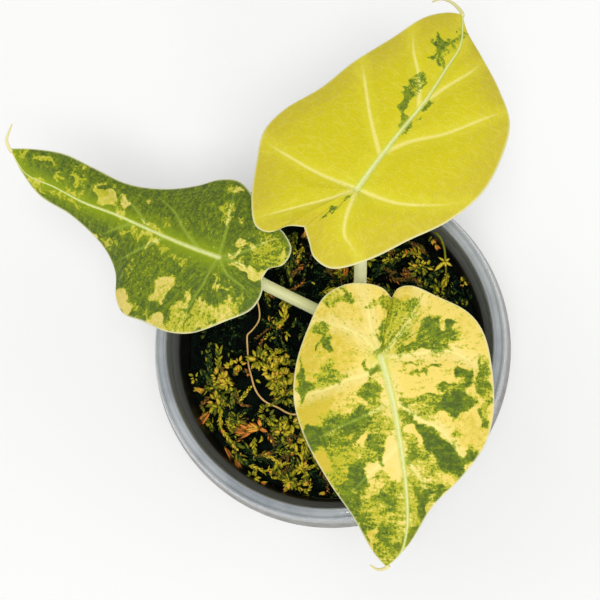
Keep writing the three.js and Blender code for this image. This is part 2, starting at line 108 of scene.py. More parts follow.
# Each leaf's own frame: x across the blade (its right-hand side as seen from above, looking to the tip),
# y along it to the tip, z up, from the point where the stalk meets the blade. The patches of green and
# yellow tissue are (x, y, half length, half width, turn in degrees, level reached in the middle)
LEAVES = {
    "front": {
        "attach": (15, -8, 115),
        "heading": -90,
        "lobe": 0.36,
        "crown": 1.2,
        "rib": 0.95,
        "foot": -50,
        "stalk": [(9.2, 2.4, 74), (11, 0.5, 88), (13.3, -3.5, 102)],
        "midrib": [(0, 0, 0), (-2.5, 9.5, -1), (-4.5, 21.5, -3.5), (-5.5, 30.5, -6.5), (-5.5, 38, -9.5),
                   (-4, 44, -13), (-0.5, 47.5, -15.5)],
        "left": [(-2.5, -13.5, 1.5), (-4, -15.5, 2.5), (-7, -16, 3), (-12.5, -14, 1), (-20, -10.5, -2.5),
                 (-23.5, -6, -5), (-25.5, 3.5, -7), (-25.5, 12.5, -7.5), (-23.5, 19.5, -7.5),
                 (-18.5, 26.5, -7.5), (-11.5, 33.5, -9.5), (-6, 42, -12.5), (-0.5, 47.5, -15.5)],
        "right": [(-2.5, -13.5, 1.5), (-0.5, -15.5, 3), (3, -16.5, 3.5), (8, -16.5, 2.5), (13, -14, 1),
                  (17, -7, -1.5), (20, 1.5, -4), (20.5, 9.5, -5.5), (18, 18, -6.5), (12.5, 28, -8),
                  (7, 36, -10.5), (2.5, 44, -13.5), (-0.5, 47.5, -15.5)],
        "thread": [(1.5, 48, -17), (3.5, 47, -18)],
        "veins": [
            [(0, 0), (2, -6), (2.5, -9.5), (3.5, -13.5), (5, -15.5)],
            [(0, 0), (3.5, -4), (6, -5.5), (10.5, -7.5), (15, -8)],
            [(0, 0), (3.5, 4), (7.5, 5), (11, 6.5), (16, 8), (20, 9)],
            [(-2.5, 9.5), (1, 12), (5.5, 14), (12.5, 17), (16, 19)],
            [(0, 0), (-3, -3.5), (-6, -7), (-8, -11), (-9, -15)],
            [(0, 0), (-6.5, -0.5), (-12.5, -1.5), (-16, -1.5), (-19.5, 0), (-24.5, 2)],
            [(-2.5, 9), (-6, 12), (-9.5, 14.5), (-13.5, 16.5), (-16, 19.5), (-18, 23), (-18.5, 26)],
            [(-4.5, 21), (-7, 25), (-9.5, 28.5), (-11.5, 32.5)],
            [(-4.5, 19), (-1.5, 22.5), (3, 26.5), (8.5, 32)],
        ],
        "green_ground": 0.02,
        "green": [
            (-1, 35, 15, 8, 90, 0.37), (7.5, 20, 9, 7, 60, 0.36), (-8, 25, 8, 4.5, 125, 0.34),
            (-13, -5, 3.6, 3, 0, 0.8), (-8.2, -2.8, 4.2, 1.7, 18, 0.72), (-15.6, -7.6, 1.5, 1.2, 0, 0.85),
            (-12.4, -7.4, 1.5, 1.2, 0, 0.8), (-14, -7.6, 0.9, 0.8, 0, 0), (-5, -8.5, 3.8, 3.4, 60, 0.38),
            (-3, -3.8, 3.2, 0.9, 52, 0.5), (-6.3, -10.6, 1.8, 1.7, 0, 0.48),
            (-0.1, -3.4, 3.4, 0.8, 88, 0.85), (-1.6, -8, 3.6, 1.2, 85, 0.5),
            (-2.6, -11.8, 3.4, 1.3, 0, 0.46), (-23.2, 4.4, 4.2, 1.5, 92, 0.72),
            (-24.4, 9.5, 3, 0.9, 90, 0.45), (-23.2, 13.6, 1.8, 0.9, 110, 0.7),
            (-16.4, 10.2, 3.9, 2.7, 15, 1), (-19.2, 6, 3.2, 1.1, 80, 0.75),
            (-18.7, 3.9, 1.3, 1.3, 0, 0.95), (-14.6, 6.3, 2.4, 0.6, 0, 0.8), (-11, 9.7, 2.6, 0.8, 0, 0.6),
            (-8, 10.2, 2.6, 1.3, 0, 0.48), (-9.6, 12.8, 3.2, 0.8, -5, 0.4),
            (-5.4, 9.6, 1.4, 0.9, -35, 0.55), (-11, 2.5, 1.7, 0.8, 15, 0.72),
            (-7.5, 3.8, 1.9, 0.6, 15, 0.52), (-6.4, 1.8, 1.5, 0.45, 12, 0.5),
            (-8, 0.3, 1.2, 0.35, 10, 0.45), (-6, 14.4, 3, 1.2, 115, 0.72),
            (-15.6, 23.2, 4.4, 2.5, 125, 1.05), (-11, 18.6, 3.6, 1.8, 140, 1.05),
            (-8, 16.2, 2, 0.9, 150, 0.85), (-7.8, 18.2, 2.6, 0.8, 118, -0.4),
            (-7.4, 22, 2.6, 1.9, 110, 0.78), (-6, 18.8, 2.6, 0.8, 95, 0.5),
            (-20.2, 22.6, 2.3, 1.7, 30, 0.95), (-12.4, 30, 3.2, 1.1, 20, 0.85),
            (-9.6, 32.2, 2.3, 1.5, 90, 0.9), (-9, 35, 2, 1.1, 60, 1), (-10.6, 28.4, 2, 1.2, -20, 0.5),
            (-7.4, 30.4, 1.3, 1.1, 90, 0.8), (-12, 27.2, 3.4, 1, -35, 0.22),
            (-8.4, 38.4, 2.2, 0.9, 55, 0.7), (-6.4, 40.8, 2.2, 0.9, 50, 0.85),
            (-8.6, 25.3, 2.6, 1.6, -30, 0.26), (-17, 17.6, 2, 1.2, 90, 0.36),
            (2.6, 7.8, 2.6, 1.7, 85, 0.72), (2, 2.5, 1.3, 1.2, 0, 0.95), (5.8, 14.2, 3.5, 2.2, 30, 0.92),
            (10.8, 15, 3.2, 1.5, 12, 0.7), (14, 16.4, 2.2, 1.1, 0, 0.75), (16.4, 16.5, 1.7, 1.1, 90, 0.9),
            (15.6, 19, 2.9, 2.4, 60, 0.92), (0.8, 13, 2.8, 2, 90, 0.42), (7, 19.6, 2.3, 1.4, 50, 0.8),
            (11.4, 18.4, 2.6, 1.7, 0, 0.66), (1, 21, 2.7, 1.6, 100, 0.82),
            (-0.2, 18.8, 1.6, 1.1, 0, 0.62), (-1.6, 16.8, 2.2, 0.7, 90, 0.5),
            (3.6, 22.6, 2.1, 1.1, 0, 0.48), (3.6, 18.2, 3.3, 0.8, 38, -0.5),
            (5.8, 27.2, 2.9, 2.2, 80, 0.95), (3.2, 24.8, 1.4, 1.1, 0, 0.7),
            (8.6, 31, 3.2, 1.8, 100, 0.82), (9.6, 27, 2.8, 1.4, 90, 0.6), (7, 33.6, 2.1, 1.5, 90, 0.78),
            (11.2, 25.4, 3, 1.8, 110, 0.46), (8.2, 22.8, 2.2, 1.4, 20, 0.4),
            (11.2, 21.4, 2.6, 1.6, 0, 0.5), (14.2, 23.6, 2.6, 1.4, 125, -0.3),
            (-1.4, 32.6, 2.6, 2.1, 0, 0.74), (-2.6, 29.2, 1.8, 1.2, 90, 0.72),
            (2.6, 33.4, 2, 1.5, 0, 0.46), (-3.8, 33.6, 2.6, 0.7, 90, 0.5),
            (4.2, 36.6, 2.2, 1.3, -20, 0.6), (-0.3, 38.8, 1.8, 1.1, 90, 0.82),
            (4.5, 38.6, 2, 1, 110, 0.75), (2.2, 40.4, 2.3, 0.9, 90, 0.05), (0.4, 42, 1.4, 1.1, 0, 0.72),
            (-3, 42.5, 1.4, 0.8, 10, 1), (-1.6, 44.6, 2, 1, 20, 0.52), (1.2, 44, 1.6, 1.1, 0, 0.5),
            (-2.5, 23, 4.4, 1.9, 92, -0.5), (2, 25.4, 2, 1.1, 40, 0.05), (1.5, 28.6, 2.2, 1.3, 90, 0.2),
            (10.2, 4.2, 2.2, 1.1, 0, 0.56), (13.8, 5.6, 1.8, 0.8, 20, 0.42), (14, 3, 1.9, 1, 90, 0.4),
            (12, 1.8, 1.3, 0.9, 90, 0.44), (18, 7.3, 2.4, 1.1, 75, 0.75), (18.6, 3.4, 3, 0.7, 88, 0.72),
            (16.4, 6, 1.1, 0.7, 60, 0.6), (13, -3.4, 1.7, 1.3, 10, 0.95), (14.4, -2, 0.8, 0.6, 60, 0.85),
            (13.8, -6.4, 1.3, 1.2, 0, 0.66), (12, -5.4, 0.9, 0.8, 0, 0.5), (9, -14, 2, 1.1, 20, 0.6),
            (7.2, -12.5, 1, 0.7, 0, 0.58), (11.6, -12.8, 1.4, 0.9, 20, 0.42),
            (1.6, -11.6, 1.2, 0.9, 0, 0.36), (2.4, 15.7, 1.8, 1.4, 0, 0.5),
        ],
        "yellow_ground": 0.2,
        "yellow": [
            (-4.5, -7, 7, 4.4, 75, 0.85), (9, -9, 7, 6, 0, 0.48), (13.5, 1, 7, 9, 0, 0.72),
            (16, 12.5, 4.2, 5, 90, 1.05), (-20, -8, 4, 2, 30, 0.4), (-19, 17, 5.5, 3.4, 10, 0.5),
            (-8, 33, 8, 3, 110, 0.72), (11, 23, 7, 4.5, 100, 1.05), (1, 14, 4, 4, 0, 0.6),
            (2, 39, 6, 4, 90, 0.55), (-10, 4.5, 8, 3.2, 0, 0.05), (-2.5, 23, 5, 2.5, 90, 0.15),
        ],
    },
    "left": {
        "attach": (-23.5, 16.5, 110),
        "heading": 151.5,
        "lobe": 0.34,
        "crown": 1,
        "rib": 0.62,
        "foot": 190,
        "stalk": [(1.5, 6.5, 70), (-3, 8.8, 76), (-9.3, 11, 85), (-15.2, 12.9, 95), (-21, 15.4, 105)],
        "midrib": [(0, 0, 0), (-1, 9, -2), (-1.5, 17.5, -4), (-2, 29, -6.5), (-3, 38.5, -8), (-3, 47, -8.5),
                   (-3.5, 54.5, -7.5), (0, 61, -6)],
        "left": [(0.5, -11.5, 0), (-2.5, -13, -0.5), (-7, -12.5, -2), (-12.5, -8, -3.5), (-18.5, -2, -5.5),
                 (-21, 4, -8), (-21.5, 11.5, -11.5), (-22, 17.5, -14), (-19.5, 21, -14.5), (-14, 24.5, -15),
                 (-10, 30, -14.5), (-7, 40.5, -12.5), (-6.5, 49.5, -10), (-3.5, 56, -7.5), (0, 61, -6)],
        "right": [(0.5, -11.5, 0), (3, -12, 1), (5.5, -14.5, 1), (9.5, -14.5, 1), (12, -11.5, 1),
                  (14, -5, 0), (17, 0.5, -2), (19, 6, -4.5), (17.5, 10.5, -6), (13.5, 15.5, -7.5),
                  (9.5, 22.5, -9.5), (6.5, 31.5, -10.5), (6, 41.5, -10), (5.5, 49, -9), (3, 56, -8),
                  (0, 61, -6)],
        "thread": [(1.5, 62.5, -5.5), (3.5, 63, -5.5), (5.5, 63.5, -6)],
        "veins": [
            [(-0.5, 5), (2, 11), (5, 16), (6.5, 21), (7.5, 25.5)],
            [(0, 0), (6, 1.5), (9.5, 3), (16, 5.5), (18.5, 7)],
            [(0, 0), (3.5, -4.5), (6.5, -7), (10, -10), (11, -13)],
            [(0, 0), (1, -6), (0.5, -11)],
            [(0, 0), (-4.5, 0.5), (-7.5, 0.5), (-10.5, 1), (-15, 1.5), (-20, 2)],
            [(0, 0), (-2.5, -3.5), (-3.5, -8.5), (-4.5, -12.5)],
            [(-1.3, 14.5), (-6.5, 19.5), (-9, 22), (-12.5, 26)],
            [(-2, 24), (-4.5, 27.5), (-7, 30.5), (-9, 33)],
            [(-1.5, 19.5), (1.5, 25.5), (3, 31), (5, 36)],
        ],
        "green_ground": 0.9,
        "green": [
            (-12, 14, 6, 4, 0, 0.78), (-20.6, 6, 4.6, 1.3, 78, 0.1), (-18.4, 1.4, 3.2, 1.9, 65, 0.3),
            (-13.8, 10, 2.4, 1.7, -15, 0.22), (-10.6, 8.8, 1.9, 1.2, -55, 0.1),
            (-14, 3.9, 2.6, 1, -22, 0.15), (-16.6, 2.2, 2.2, 1.8, 0, 0.38), (-12, -2.2, 2, 1.5, 30, 0.18),
            (-14.4, -1.8, 2.2, 1.7, 0, 0.36), (-11, -6.6, 3.1, 1.2, 120, 0.22),
            (-16.2, -3.4, 3.6, 0.8, 130, 0.22), (-11.4, -9.2, 2.8, 0.8, 135, 0.25),
            (-6, -2, 1.5, 0.6, 15, 0.3), (-6.2, -3.8, 1.3, 0.8, 0, 0.15), (-5, -5.6, 0.6, 0.6, 0, 0.3),
            (-8, -6.8, 1.8, 1, 10, 0.35), (-7, -9.2, 1.6, 1, 0, 0.5), (0.8, -8.2, 3.6, 0.7, 92, -0.1),
            (0.5, -4.6, 1.8, 0.35, 95, 0.25), (5.4, -3.8, 1, 0.9, 60, 0.1), (2.9, -3.8, 2, 0.4, 125, 0.3),
            (6.6, -10, 4.2, 3.4, 0, 0.52), (6.4, -7, 2, 1.2, 100, 0.26), (7.2, -14, 2.2, 0.7, 0, 0.1),
            (10.6, -1.2, 1.3, 0.7, 70, 0.35), (17, 5.6, 2.4, 1, 100, 0.45), (17, 3.8, 1, 0.8, 60, 0.1),
            (11, 4.4, 2.4, 0.9, 20, 0.48), (8.4, 2.4, 2, 0.8, 20, 0.55),
            (-19.6, 18.4, 2.6, 1.8, 60, -0.2), (-3.6, 16.4, 2, 0.8, 110, 0.15),
            (-3.3, 20, 2.3, 0.55, 100, 0.05), (-4, 23.4, 2.6, 0.7, 105, 0.35),
            (-0.2, 19, 3, 0.45, 90, 0.35), (1.6, 16.4, 2.2, 0.7, 90, 0.55),
            (-4, 13.6, 1.8, 0.8, 100, 0.42), (-4.6, 8.6, 2.8, 0.9, 105, 0.52),
            (-11.4, 19.8, 1.2, 0.8, 0, 0.48), (4.6, 23.2, 1.3, 0.8, 70, 0.3),
            (0.7, 33.6, 2.5, 1.3, 92, -0.1), (1.8, 28.4, 2, 1, 75, 0.15),
            (-0.9, 28.6, 1.8, 0.6, 60, 0.26), (-8.7, 33.1, 1.3, 0.7, 115, 0),
            (-8, 28.8, 2.4, 0.9, 110, 0.52), (3, 36.3, 1.3, 0.7, 10, 0.32), (4, 33, 1.2, 0.7, 70, 0.42),
            (-1.8, 42, 2.8, 0.9, 90, 0.4), (-4.3, 43, 6, 0.6, 90, 0.42), (-4, 51.6, 1.8, 0.8, 90, 0.2),
            (-5.1, 49, 1.8, 0.4, 95, 0.3), (0.3, 46.6, 1.6, 0.7, 0, 0.32), (1, 42.8, 1.2, 0.8, 80, 0.35),
            (4.4, 43.6, 1.2, 0.9, 0, 0.52), (2, 52.2, 2.2, 0.7, 90, 0.38), (-0.6, 59, 2, 1.2, 90, 0.5),
            (0.9, 40.8, 1, 0.8, 0, 0.5),
        ],
        "yellow_ground": 0.25,
        "yellow": [
            (6.6, -9.6, 5, 4, 0, 0.9), (-17, 1, 4, 6, 0, 0.45), (-3, 18, 9, 2.5, 95, 0.75),
            (-2, 45, 14, 4.5, 90, 0.8), (11, 3.6, 5, 2, 20, 0.9),
        ],
    },
    "back": {
        "attach": (11, 25.5, 140),
        "heading": 63,
        "lobe": 0.34,
        "crown": 1.3,
        "rib": 0.75,
        "foot": 70,
        "stalk": [(7.8, 8.7, 78), (8.6, 9.6, 92), (9.9, 12.7, 109), (11, 19, 129)],
        "midrib": [(0, 0, 0), (1, 8.5, -1.5), (2, 15.5, -3), (3.5, 25, -5.5), (4, 35, -8.5), (4, 42, -11.5),
                   (2, 47, -14), (0.5, 50, -15.5)],
        "left": [(-6.5, -12.5, 0), (-9.5, -14, 1), (-12.5, -17, 1), (-16, -17, 0), (-20, -12, -2),
                 (-23.5, -3.5, -4), (-25.5, 3.5, -5), (-24, 10, -6), (-19, 18.5, -7), (-15.5, 27, -8),
                 (-10.5, 36.5, -10), (-6.5, 44.5, -12), (-2.5, 48.5, -14), (0.5, 50, -15.5)],
        "right": [(-6.5, -12.5, 0), (-4, -15, 0), (-1.5, -17.5, 0), (3, -18, 0), (9, -13, -0.5),
                  (15, -4.5, -2.5), (20.5, 3.5, -5), (24, 13, -7.5), (24, 22.5, -9.5), (22, 30.5, -11),
                  (16.5, 36.5, -12), (9.5, 42, -13), (3.5, 46.5, -14.5), (0.5, 50, -15.5)],
        "thread": [(-1.5, 51.5, -17), (-4, 52.5, -18.5), (-6.5, 52.5, -20), (-8, 51.5, -21)],
        "veins": [
            [(1, 9), (-5, 16), (-11.5, 25), (-14.5, 29)],
            [(0, 0), (-9, -0.5), (-18.5, 0.5), (-25, 1.5)],
            [(0, 0), (-4, -4.5), (-8.5, -8.5), (-17, -15.5)],
            [(1.5, 10.5), (5, 15), (11, 20.5), (19, 31), (21, 33)],
            [(0, 0), (6, 0.5), (10, 1.5), (18, 6), (22, 9.5)],
            [(0, 0), (1, -7), (2.5, -10.5), (5, -12), (8, -14)],
            [(3.2, 23), (0, 29.5), (-4.5, 35.5), (-7.5, 41)],
            [(3.2, 24), (6, 30.5), (9, 36.5), (10, 40)],
        ],
        "green_ground": -0.3,
        "green": [
            (-0.1, 23.6, 3.2, 1.4, 100, 0.74), (0.3, 29, 2.6, 1.4, 85, 0.6),
            (1.5, 19.6, 3.8, 0.7, 105, 0.75), (4.2, 23.8, 2.8, 0.6, 80, 1),
            (3.3, 18.2, 4.4, 0.4, 82, 0.72), (1.1, 37.6, 2.8, 1.6, 118, 0.84),
            (-0.2, 39.8, 1.6, 0.9, 95, 0.85), (2.7, 42.4, 3.6, 1.2, 80, 0.56),
            (3.1, 33.6, 4, 0.5, 105, 0.5), (2.9, 38.6, 0.9, 0.6, 0, 0.6),
            (-2.1, -5.4, 4.8, 0.35, 62, 0.8),
        ],
        "yellow_ground": 0.2,
        "yellow": [],
    },
}

# The fine root's way over the moss
RUNNER_RADIUS = 0.29
RUNNER_RISE = [(4.8, 1.2, 62.5), (4.6, 1, 67), (2.4, -1.8, 70.6)]
RUNNER_PLAN = [(-1.5, -8), (-4.5, -15), (-9.8, -17.1), (-14.1, -15.1), (-17.4, -13.5), (-19.3, -11.5),
               (-20.3, -9.4), (-20.9, -7.3), (-21.9, -3.8), (-22.2, -0.4), (-22.4, 3.2), (-22.3, 4),
               (-20.9, 5.6), (-19.4, 8.5), (-19.8, 13), (-21.5, 17)]
RUNNER_LIFT = 1.5

# Curves and meshes


def dense_path(points, per_span=40):
    """Many points on the smooth curve (centripetal Catmull-Rom) through the given ones."""
    p = np.array(points, float)
    p = np.vstack([2 * p[0] - p[1], p, 2 * p[-1] - p[-2]])
    spans = []
    for a, b, c, d in zip(p, p[1:], p[2:], p[3:]):
        knots = np.cumsum([0] + [np.linalg.norm(v - u) ** 0.5 for u, v in ((a, b), (b, c), (c, d))])
        t = np.linspace(knots[1], knots[2], per_span, endpoint=False)[:, None]

        def between(u, v, i, j):
            return ((knots[j] - t) * u + (t - knots[i]) * v) / (knots[j] - knots[i])

        ab, bc, cd = between(a, b, 0, 1), between(b, c, 1, 2), between(c, d, 2, 3)
        spans.append(between(between(ab, bc, 0, 2), between(bc, cd, 1, 3), 1, 2))
    return np.vstack(spans + [p[-2:-1]])


def unit(vectors):
    vectors = np.asarray(vectors, float)
    return vectors / np.linalg.norm(vectors, axis=-1, keepdims=True)


def at_shares(path, shares):
    """Points of a path at shares of its length."""
    steps = np.linalg.norm(np.diff(path, axis=0), axis=1)
    length = np.concatenate([[0], np.cumsum(steps)])
    return np.stack([np.interp(np.array(shares) * length[-1], length, c) for c in path.T], axis=-1)


def smooth_path(points, count):
    return at_shares(dense_path(points), np.linspace(0, 1, count))


def ring_faces(rings, sides):
    """Quads between each ring of points and the next."""
    first = sides * np.arange(rings - 1)[:, None]
    a = (first + np.arange(sides)).ravel()
    b = (first + (np.arange(sides) + 1) % sides).ravel()
    return [tuple(f) for f in np.stack([a, b, b + sides, a + sides], 1).tolist()]


def tube(path, radii, sides):
    """Vertices and faces of a closed tube along a path."""
    tangents = unit(np.gradient(path, axis=0))
    normal = np.cross(tangents[0], (0.3, 0.9, 0.2))
    turns = 2 * np.pi * np.arange(sides) / sides
    rings = []
    for point, tangent, radius in zip(path, tangents, radii):
        normal = normal - tangent * normal.dot(tangent)
        normal /= np.linalg.norm(normal)
        other = np.cross(tangent, normal)
        rings.append(point + radius * (np.outer(np.cos(turns), normal) + np.outer(np.sin(turns), other)))
    faces = ring_faces(len(path), sides)
    faces.append(tuple(range(sides))[::-1])
    faces.append(tuple(range((len(path) - 1) * sides, len(path) * sides)))
    return np.vstack(rings), faces


def merge(parts):
    """One list of vertices and faces from several."""
    vertices = []
    faces = []
    start = 0
    for v, f in parts:
        vertices.append(v)
        faces.extend(tuple(int(i) + start for i in face) for face in f)
        start += len(v)
    return np.vstack(vertices), faces


def new_object(name, data):
    thing = bpy.data.objects.new(name, data)
    bpy.context.scene.collection.objects.link(thing)
    return thing


def new_mesh(name, vertices_mm, faces, material, replaces=(), attributes=None, uv=None):
    """A piece of the visual model from vertices in millimetres."""
    mesh = bpy.data.meshes.new(name)
    mesh.from_pydata((np.asarray(vertices_mm) * MM).tolist(), [], faces)
    for key, values in (attributes or {}).items():
        values = np.asarray(values, np.float32)
        kind, field = ("FLOAT", "value") if values.ndim == 1 else ("FLOAT_VECTOR", "vector")
        mesh.attributes.new(key, kind, "POINT").data.foreach_set(field, values.ravel())
    if uv is not None:
        corners = np.empty(len(mesh.loops), np.int32)
        mesh.loops.foreach_get("vertex_index", corners)
        layer = mesh.uv_layers.new(name="OFBake")
        layer.data.foreach_set("uv", np.asarray(uv, np.float32)[corners].ravel())
    mesh.polygons.foreach_set("use_smooth", np.full(len(mesh.polygons), True))
    mesh.update()
    piece = new_object(name, mesh)
    piece.data.materials.append(material)
    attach(piece, ROOT)
    if replaces:
        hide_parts(*replaces)
    return piece


# Shader nodes


def srgb(r, g, b):
    """Linear colour from the 0 to 255 values of a screen colour, which is linear up to 10."""
    linear = [(c / 255 / 12.92) if c <= 10 else ((c / 255 + 0.055) / 1.055) ** 2.4 for c in (r, g, b)]
    return (*linear, 1)


class Shader:
    """A material whose nodes are added by short calls."""

    def __init__(self, name):
        self.material = bpy.data.materials.new(name)
        self.material.use_nodes = True
        self.tree = self.material.node_tree
        self.surface = self.tree.nodes["Principled BSDF"]

    def plug(self, socket, value):
        if isinstance(value, bpy.types.NodeSocket):
            self.tree.links.new(value, socket)
        elif value is not None:
            socket.default_value = value

    def add(self, kind, settings=None, **inputs):
        node = self.tree.nodes.new(kind)
        for key, value in (settings or {}).items():
            setattr(node, key, value)
        for key, value in inputs.items():
            self.plug(node.inputs[key.replace("_", " ")], value)
        return node

    def attribute(self, name, output="Fac"):
        return self.add("ShaderNodeAttribute", {"attribute_name": name}).outputs[output]

    def place(self):
        """The point in the part's frame, in metres."""
        return self.add("ShaderNodeTexCoord").outputs["Object"]

    def math(self, operation, a, b=0.5):
        node = self.add("ShaderNodeMath", {"operation": operation})
        self.plug(node.inputs[0], a)
        self.plug(node.inputs[1], b)
        return node.outputs[0]

    def plus(self, total, *values):
        for value in values:
            total = self.math("ADD", total, value)
        return total

    def times(self, a, b):
        return self.math("MULTIPLY", a, b)

    def most(self, a, b):
        return self.math("MAXIMUM", a, b)

    def swing(self, noise, reach):
        """A noise from 0 to 1 as a shift to both sides of 0."""
        return self.times(self.math("SUBTRACT", noise, 0.5), reach)

    def ramp(self, value, low, high, to_low=0.0, to_high=1.0):
        """A smooth step from to_low to to_high while the value goes from low to high."""
        node = self.add("ShaderNodeMapRange", {"interpolation_type": "SMOOTHSTEP"}, Value=value)
        settings = {"From Min": low, "From Max": high, "To Min": to_low, "To Max": to_high}
        for key, setting in settings.items():
            node.inputs[key].default_value = setting
        return node.outputs[0]

    def mix(self, share, a, b):
        node = self.add("ShaderNodeMix", {"data_type": "RGBA"})
        for socket, value in ((0, share), (6, a), (7, b)):
            self.plug(node.inputs[socket], value)
        return node.outputs[2]

    def colours(self, value, stops):
        node = self.add("ShaderNodeValToRGB", None, Fac=value)
        ramp = node.color_ramp
        while len(ramp.elements) < len(stops):
            ramp.elements.new(0.5)
        for element, (place, colour) in zip(ramp.elements, stops):
            element.position = place
            element.color = colour
        return node.outputs[0]

    def noise(self, vector, scale, detail=3.0, roughness=0.55, distortion=0.0):
        node = self.add("ShaderNodeTexNoise", None, Vector=vector, Scale=scale, Detail=detail,
                        Roughness=roughness, Distortion=distortion)
        return node.outputs[0]

    def cell_lines(self, vector, scale, width):
        """Lines between cells: 1 on a line, 0 at its width."""
        node = self.add("ShaderNodeTexVoronoi", {"feature": "DISTANCE_TO_EDGE"}, Vector=vector, Scale=scale)
        return self.ramp(node.outputs["Distance"], 0.0, width, 1.0, 0.0)

    def bump(self, height, distance_mm, strength):
        node = self.add("ShaderNodeBump", None, Height=height, Distance=distance_mm * MM, Strength=strength)
        return node.outputs[0]

    def finish(self, colour, roughness, normal=None, **values):
        self.plug(self.surface.inputs["Base Color"], colour)
        self.plug(self.surface.inputs["Roughness"], roughness)
        self.plug(self.surface.inputs["Normal"], normal)
        for key, value in values.items():
            self.surface.inputs[key.replace("_", " ")].default_value = value
        return self.material


CREAM = srgb(240, 214, 108)
GOLD = srgb(212, 188, 54)
YELLOW = srgb(204, 193, 12)
LIME = srgb(182, 182, 30)
MID_GREEN = srgb(120, 138, 26)
DARK_GREEN = srgb(74, 94, 34)
VEIN = srgb(230, 234, 164)
CREAM_VEIN = srgb(248, 236, 150)
GREEN_VEIN = srgb(160, 182, 62)
EDGE = srgb(236, 232, 180)
HUB = srgb(208, 206, 44)
FLANK = srgb(188, 198, 66)
UNDERSIDE = srgb(196, 206, 140)

# The moss's colours by tone: near black, both dark moss and painted shade in the gaps and under the leaves,
# then green, olive and yellow moss, then orange and brown dry bits
MOSS_TONES = [
    (0, srgb(3, 5, 3)), (0.2, srgb(12, 26, 16)), (0.34, srgb(40, 66, 34)), (0.48, srgb(120, 126, 36)),
    (0.64, srgb(196, 184, 40)), (0.78, srgb(236, 206, 70)), (0.86, srgb(255, 152, 62)),
    (0.96, srgb(176, 112, 52)), (1, srgb(118, 92, 42)),
]


def leaf_material(name, light, light_deep, bright, rib_glow, inner_share, near_vein, near_share):
    """Light tissue that turns through lime to green in ragged patches, with pale veins and a fine net."""
    s = Shader(name)
    flow = s.attribute("flow", "Vector")
    plan = s.attribute("plan", "Vector")
    hub = s.attribute("hub")
    fine = s.noise(plan, 1.5, 4, 0.62)
    streak = s.noise(flow, 0.8, 4, 0.65)
    block = s.noise(plan, 0.5, 3, 0.55, 0.5)
    speckle = s.noise(plan, 2.6, 3, 0.6)
    second = s.noise(plan, 0.8, 4, 0.6)

    # How green the tissue is, how warm its light parts are and how near the veins
    rag = s.plus(s.swing(fine, 1.3), s.swing(streak, 1.4), s.swing(block, 0.6))
    level = s.plus(s.attribute("green"), rag)
    broken = s.plus(level, s.swing(speckle, 1.2))
    deep = s.plus(broken, s.swing(second, 1.6))
    warm = s.plus(s.attribute("yellow"), s.swing(second, 1.4), s.times(s.attribute("inner"), inner_share))
    near = s.plus(s.attribute("near"), s.swing(block, 1.2))

    # Light and green tissue
    pale = s.mix(s.ramp(warm, 0.15, 0.85), light, light_deep)
    pale = s.mix(s.ramp(near, 0.3, 1.1, 0.0, near_share), pale, near_vein)
    pale = s.mix(s.times(hub, 0.7), pale, HUB)
    pale = s.mix(s.ramp(level, 0.12, 0.32, 0.0, 0.9), pale, LIME)
    leafy = s.mix(s.ramp(deep, 0.5, 1.2), MID_GREEN, DARK_GREEN)
    leafy = s.mix(s.ramp(s.noise(plan, 3.2, 3, 0.6), 0.58, 0.72, 0.0, 0.35), leafy, LIME)
    leafy = s.mix(s.times(s.most(s.attribute("axil"), hub), rib_glow), leafy, bright)
    green = s.ramp(broken, 0.43, 0.57)
    colour = s.mix(green, pale, leafy)

    # The net of fine veins, the side veins, the midrib with its flanks, the edge and the underside
    lines = s.most(s.times(s.cell_lines(plan, 1.5, 0.12), 0.7), s.cell_lines(flow, 0.95, 0.1))
    vein = s.mix(green, CREAM_VEIN, GREEN_VEIN)
    rib = s.plus(s.attribute("vein"), s.swing(fine, 0.5))
    colour = s.mix(s.times(lines, 0.11), colour, vein)
    colour = s.mix(s.ramp(s.attribute("lateral"), 0.05, 1.1, 0.0, 0.58), colour, vein)
    colour = s.mix(s.ramp(rib, 0.05, 0.55, 0.0, 0.6), colour, FLANK)
    colour = s.mix(s.ramp(rib, 0.3, 1.1, 0.0, 0.95), colour, VEIN)
    colour = s.mix(s.attribute("margin"), colour, EDGE)
    colour = s.mix(s.attribute("under"), colour, s.mix(0.5, colour, UNDERSIDE))

    height = s.plus(s.times(s.noise(plan, 2.5, 2), 0.5), s.times(lines, -0.7))
    return s.finish(colour, s.ramp(fine, 0.3, 0.7, 0.55, 0.72), s.bump(height, 0.07, 0.7),
                    Sheen_Weight=0.02, Sheen_Roughness=0.4, Specular_IOR_Level=0.12)


def stalk_material():
    s = Shader("stalk")
    stripe = s.noise(s.attribute("around", "Vector"), 5, 3, 0.6)
    colour = s.mix(s.ramp(stripe, 0.35, 0.65), srgb(252, 252, 206), srgb(240, 242, 172))
    colour = s.mix(s.attribute("low"), colour, srgb(206, 216, 140))
    return s.finish(colour, 0.45, s.bump(stripe, 0.05, 0.5), Specular_IOR_Level=0.3)


def moss_material():
    s = Shader("moss")
    place = s.place()
    mottled = s.plus(s.attribute("tone"), s.swing(s.noise(place, 900, 3), 0.2))
    grain = s.bump(s.noise(place, 2500, 2), 0.15, 0.7)
    return s.finish(s.colours(mottled, MOSS_TONES), 0.85, grain, Specular_IOR_Level=0.08)


def root_material():
    s = Shader("root")
    mottle = s.noise(s.place(), 700, 3)
    colour = s.mix(mottle, srgb(238, 200, 130), srgb(206, 158, 90))
    return s.finish(colour, 0.6, s.bump(mottle, 0.1, 0.5))


